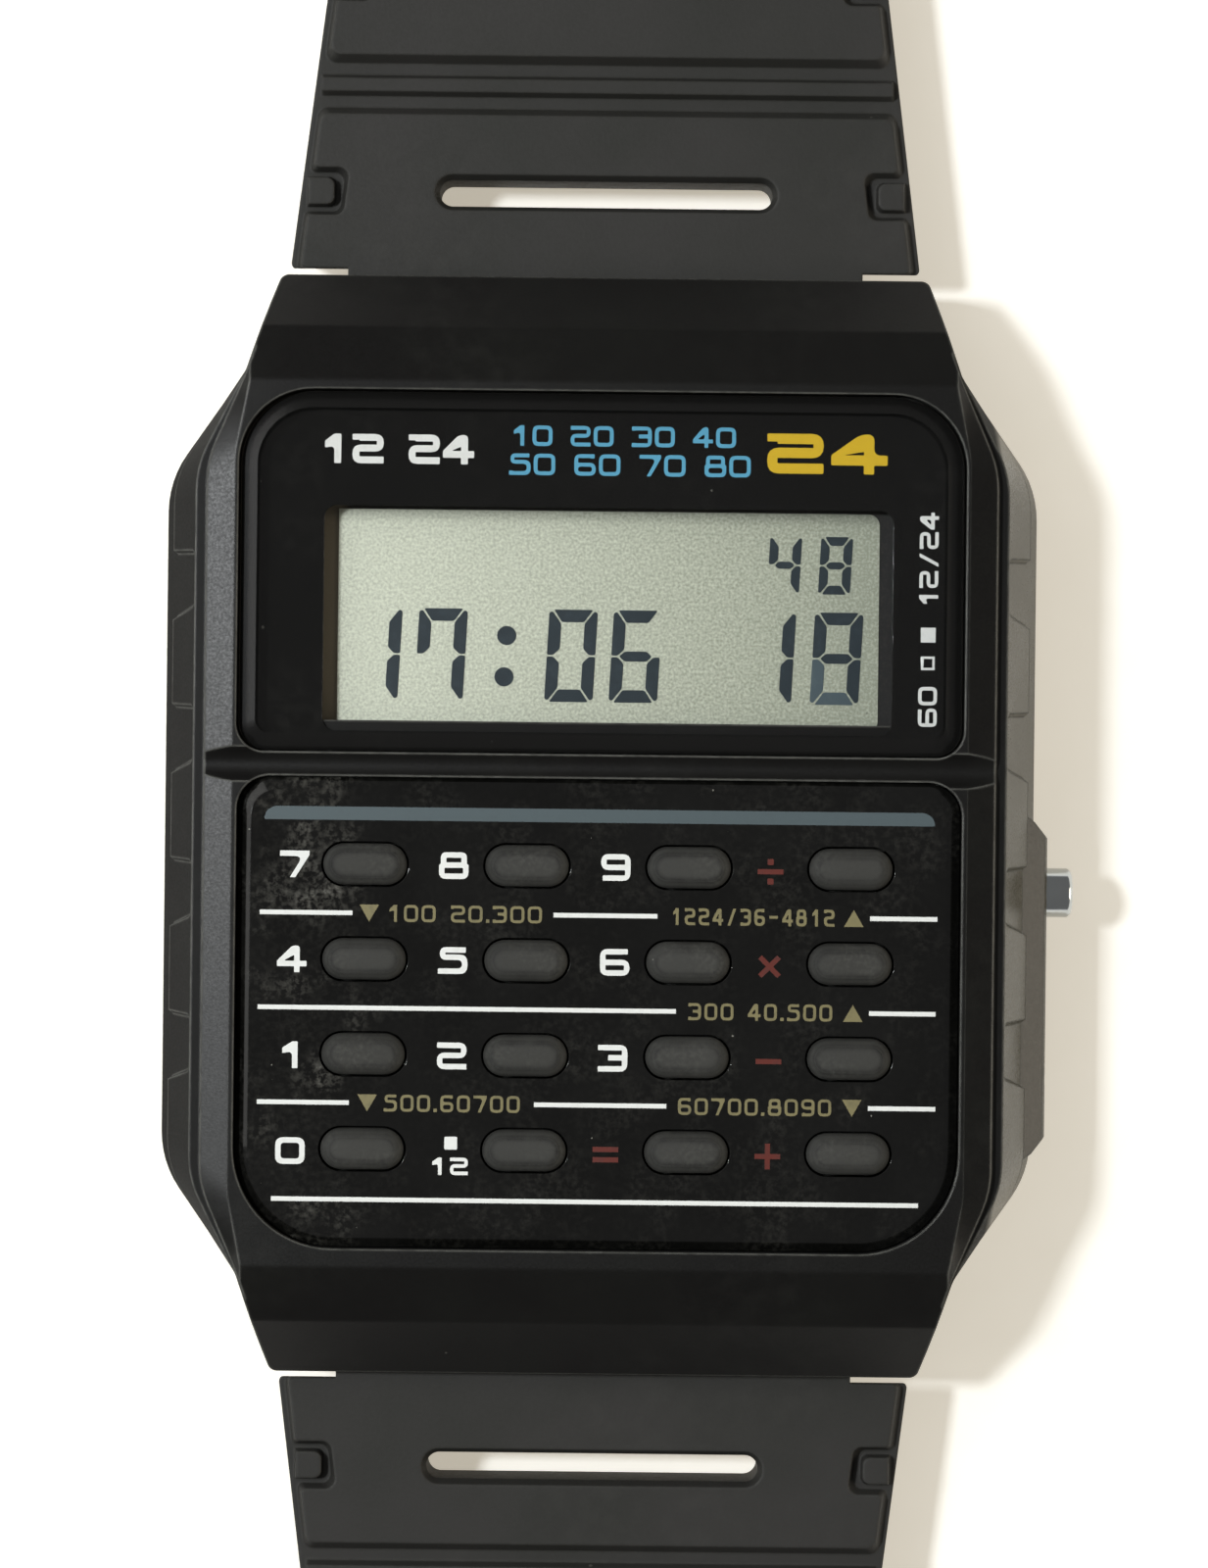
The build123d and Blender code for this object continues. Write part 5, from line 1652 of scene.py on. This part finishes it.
@dataclass
class Studio:
    """Pale floor, soft light from the left and the camera over the watch.

    Attributes:
        look: point that the camera looks at.
        distance: height of the camera over that point.
        roll: turn of the camera, in degrees.
        frame_height: how much of the watch's length the picture holds.
        sensor: height of the camera's sensor, in Blender's millimetres.
        lamps: a small clear lamp and a wide soft one on the left, and a low warm one that
            stands for the room on the right.
        paper_low: how far the paper lies below the watch, so that no two faces share a plane.
        paper_fade: how far from the watch the paper begins to glow for the lamps that no
            longer reach it, and glows in full.
        backdrop: height of a mirrored ray's direction at which the white backdrop begins to
            fade, and has faded.
        paper_size: length of the paper's side.
        paper_glow: strength of that glow near the watch, and far from it.
        room: strength of the even light, and of the white backdrop.
    """

    look: tuple[float, float, float] = (0.174 * MM, 1.66 * MM, 4.5 * MM)
    distance: float = 200 * MM
    roll: float = 0.65
    frame_height: float = 62.02 * MM
    sensor: float = 36.0
    lamps: tuple[Lamp, ...] = (
        Lamp("window light", (-0.245, 0.05, 0.43), 0.05, 1.5, (0.95, 0.98, 1.0)),
        Lamp("soft light", (-0.42, 0.20, 0.40), 0.55, 1.0, (1.0, 0.985, 0.95)),
        Lamp("room light", (0.45, -0.02, 0.10), 0.25, 0.9, (1.0, 0.9, 0.74)))
    paper_low: float = 0.02 * MM
    paper_fade: Point = (0.15, 0.45)
    backdrop: Point = (0.04, 0.10)
    paper_size: float = 3.0
    paper_glow: Point = (0.5, 1.0)
    room: Point = (0.2, 1.0)

    def build(self) -> None:
        """Make floor, lamps, world and camera."""
        scene = bpy.context.scene
        scene.view_settings.view_transform = "Standard"
        self.floor()
        for lamp in self.lamps:
            lamp.build()
        self.world(scene)
        x, y, z = self.look
        bpy.ops.object.camera_add(location=(x, y, z + self.distance),
                                  rotation=(0, 0, math.radians(self.roll)))
        camera = bpy.context.view_layer.objects.active
        camera.data.sensor_fit = "VERTICAL"
        camera.data.sensor_height = self.sensor
        camera.data.lens = self.sensor * self.distance / self.frame_height
        camera.data.clip_start = 0.01
        scene.camera = camera

    @staticmethod
    def seen(tree: Tree) -> Socket:
        """Tell what the camera sees, straight or by way of the watch.

        Args:
            tree: node tree that gets the nodes.

        Returns:
            1 for rays from the camera, a mirror or glass, else 0.
        """
        seen = add_node(tree, "LightPath", output="Is Camera Ray")
        rays = seen.node.outputs
        for ray in ("Is Glossy Ray", "Is Transmission Ray"):
            seen = add_node(tree, "Math", (seen, rays[ray]), operation="MAXIMUM")
        return seen

    def floor(self) -> None:
        """Add the paper. It glows for the camera, more where the lamps don't reach."""
        bpy.ops.object.select_all(action="DESELECT")
        bpy.ops.mesh.primitive_plane_add(size=self.paper_size, location=(0, 0, -self.paper_low))
        piece = bpy.context.view_layer.objects.active
        piece.name = "paper"
        # Uncoated paper: white and dull, with a faint mottle of its fibres
        material, tree, place = new_tree("white matt paper")
        fibre = cloud(tree, place, 1.5 * MM, 4.0, MIDDLE, (0, 1))
        colour = add_node(tree, "Mix", {0: fibre, 6: linear("f2f2f0"), 7: linear("eeeeeb")},
                          **COLOURS)
        away = add_node(tree, "VectorMath", (place,), "Value", operation="LENGTH")
        far = add_node(tree, "MapRange", (away, *self.paper_fade, 0, 1),
                       interpolation_type="SMOOTHSTEP")
        strength = add_node(tree, "MapRange", (far, 0, 1, *self.paper_glow))
        glow = add_node(tree, "Math", (self.seen(tree), strength), operation="MULTIPLY")
        tint = add_node(tree, "Mix", {0: far, 6: linear("f6ecd8"), 7: linear("ffffff")},
                        **COLOURS)
        paper = add_node(tree, "BsdfPrincipled",
                         {"Base Color": colour, "Roughness": 0.9, "Specular IOR Level": 0.1,
                          "Emission Color": tint, "Emission Strength": glow})
        add_node(tree, "OutputMaterial", {"Surface": paper})
        piece.data.materials.append(material)

    def world(self, scene: bpy.types.Scene) -> None:
        """Light the room evenly. It is white to the camera, and low down in mirrors and glass.

        Args:
            scene: scene that the world belongs to.
        """
        world = scene.world or bpy.data.worlds.new("room")
        scene.world = world
        world.use_nodes = True
        tree = world.node_tree
        tree.nodes.clear()
        toward = add_node(tree, "TexCoord", output="Generated")
        up = add_node(tree, "SeparateXYZ", (toward,), "Z")
        low = add_node(tree, "MapRange", (up, *self.backdrop, 1, 0))
        mirrored = add_node(tree, "Math", (self.seen(tree), low), operation="MULTIPLY")
        camera_ray = add_node(tree, "LightPath", output="Is Camera Ray")
        white = add_node(tree, "Math", (camera_ray, mirrored), operation="MAXIMUM")
        strength = add_node(tree, "MapRange", (white, 0, 1, *self.room))
        back = add_node(tree, "Background", ((1.0, 0.99, 0.97, 1.0), strength))
        add_node(tree, "OutputWorld", {"Surface": back})


def main() -> None:
    """Build the watch's looks in order."""
    logging.basicConfig(level=logging.INFO, format="%(message)s")
    for group in (Studio(), Case(), Display(), Keypad(), Module(), Pushers(), Strap()):
        group.build()
        LOG.info("%s done", type(group).__name__)


if __name__ == "__main__":
    main()
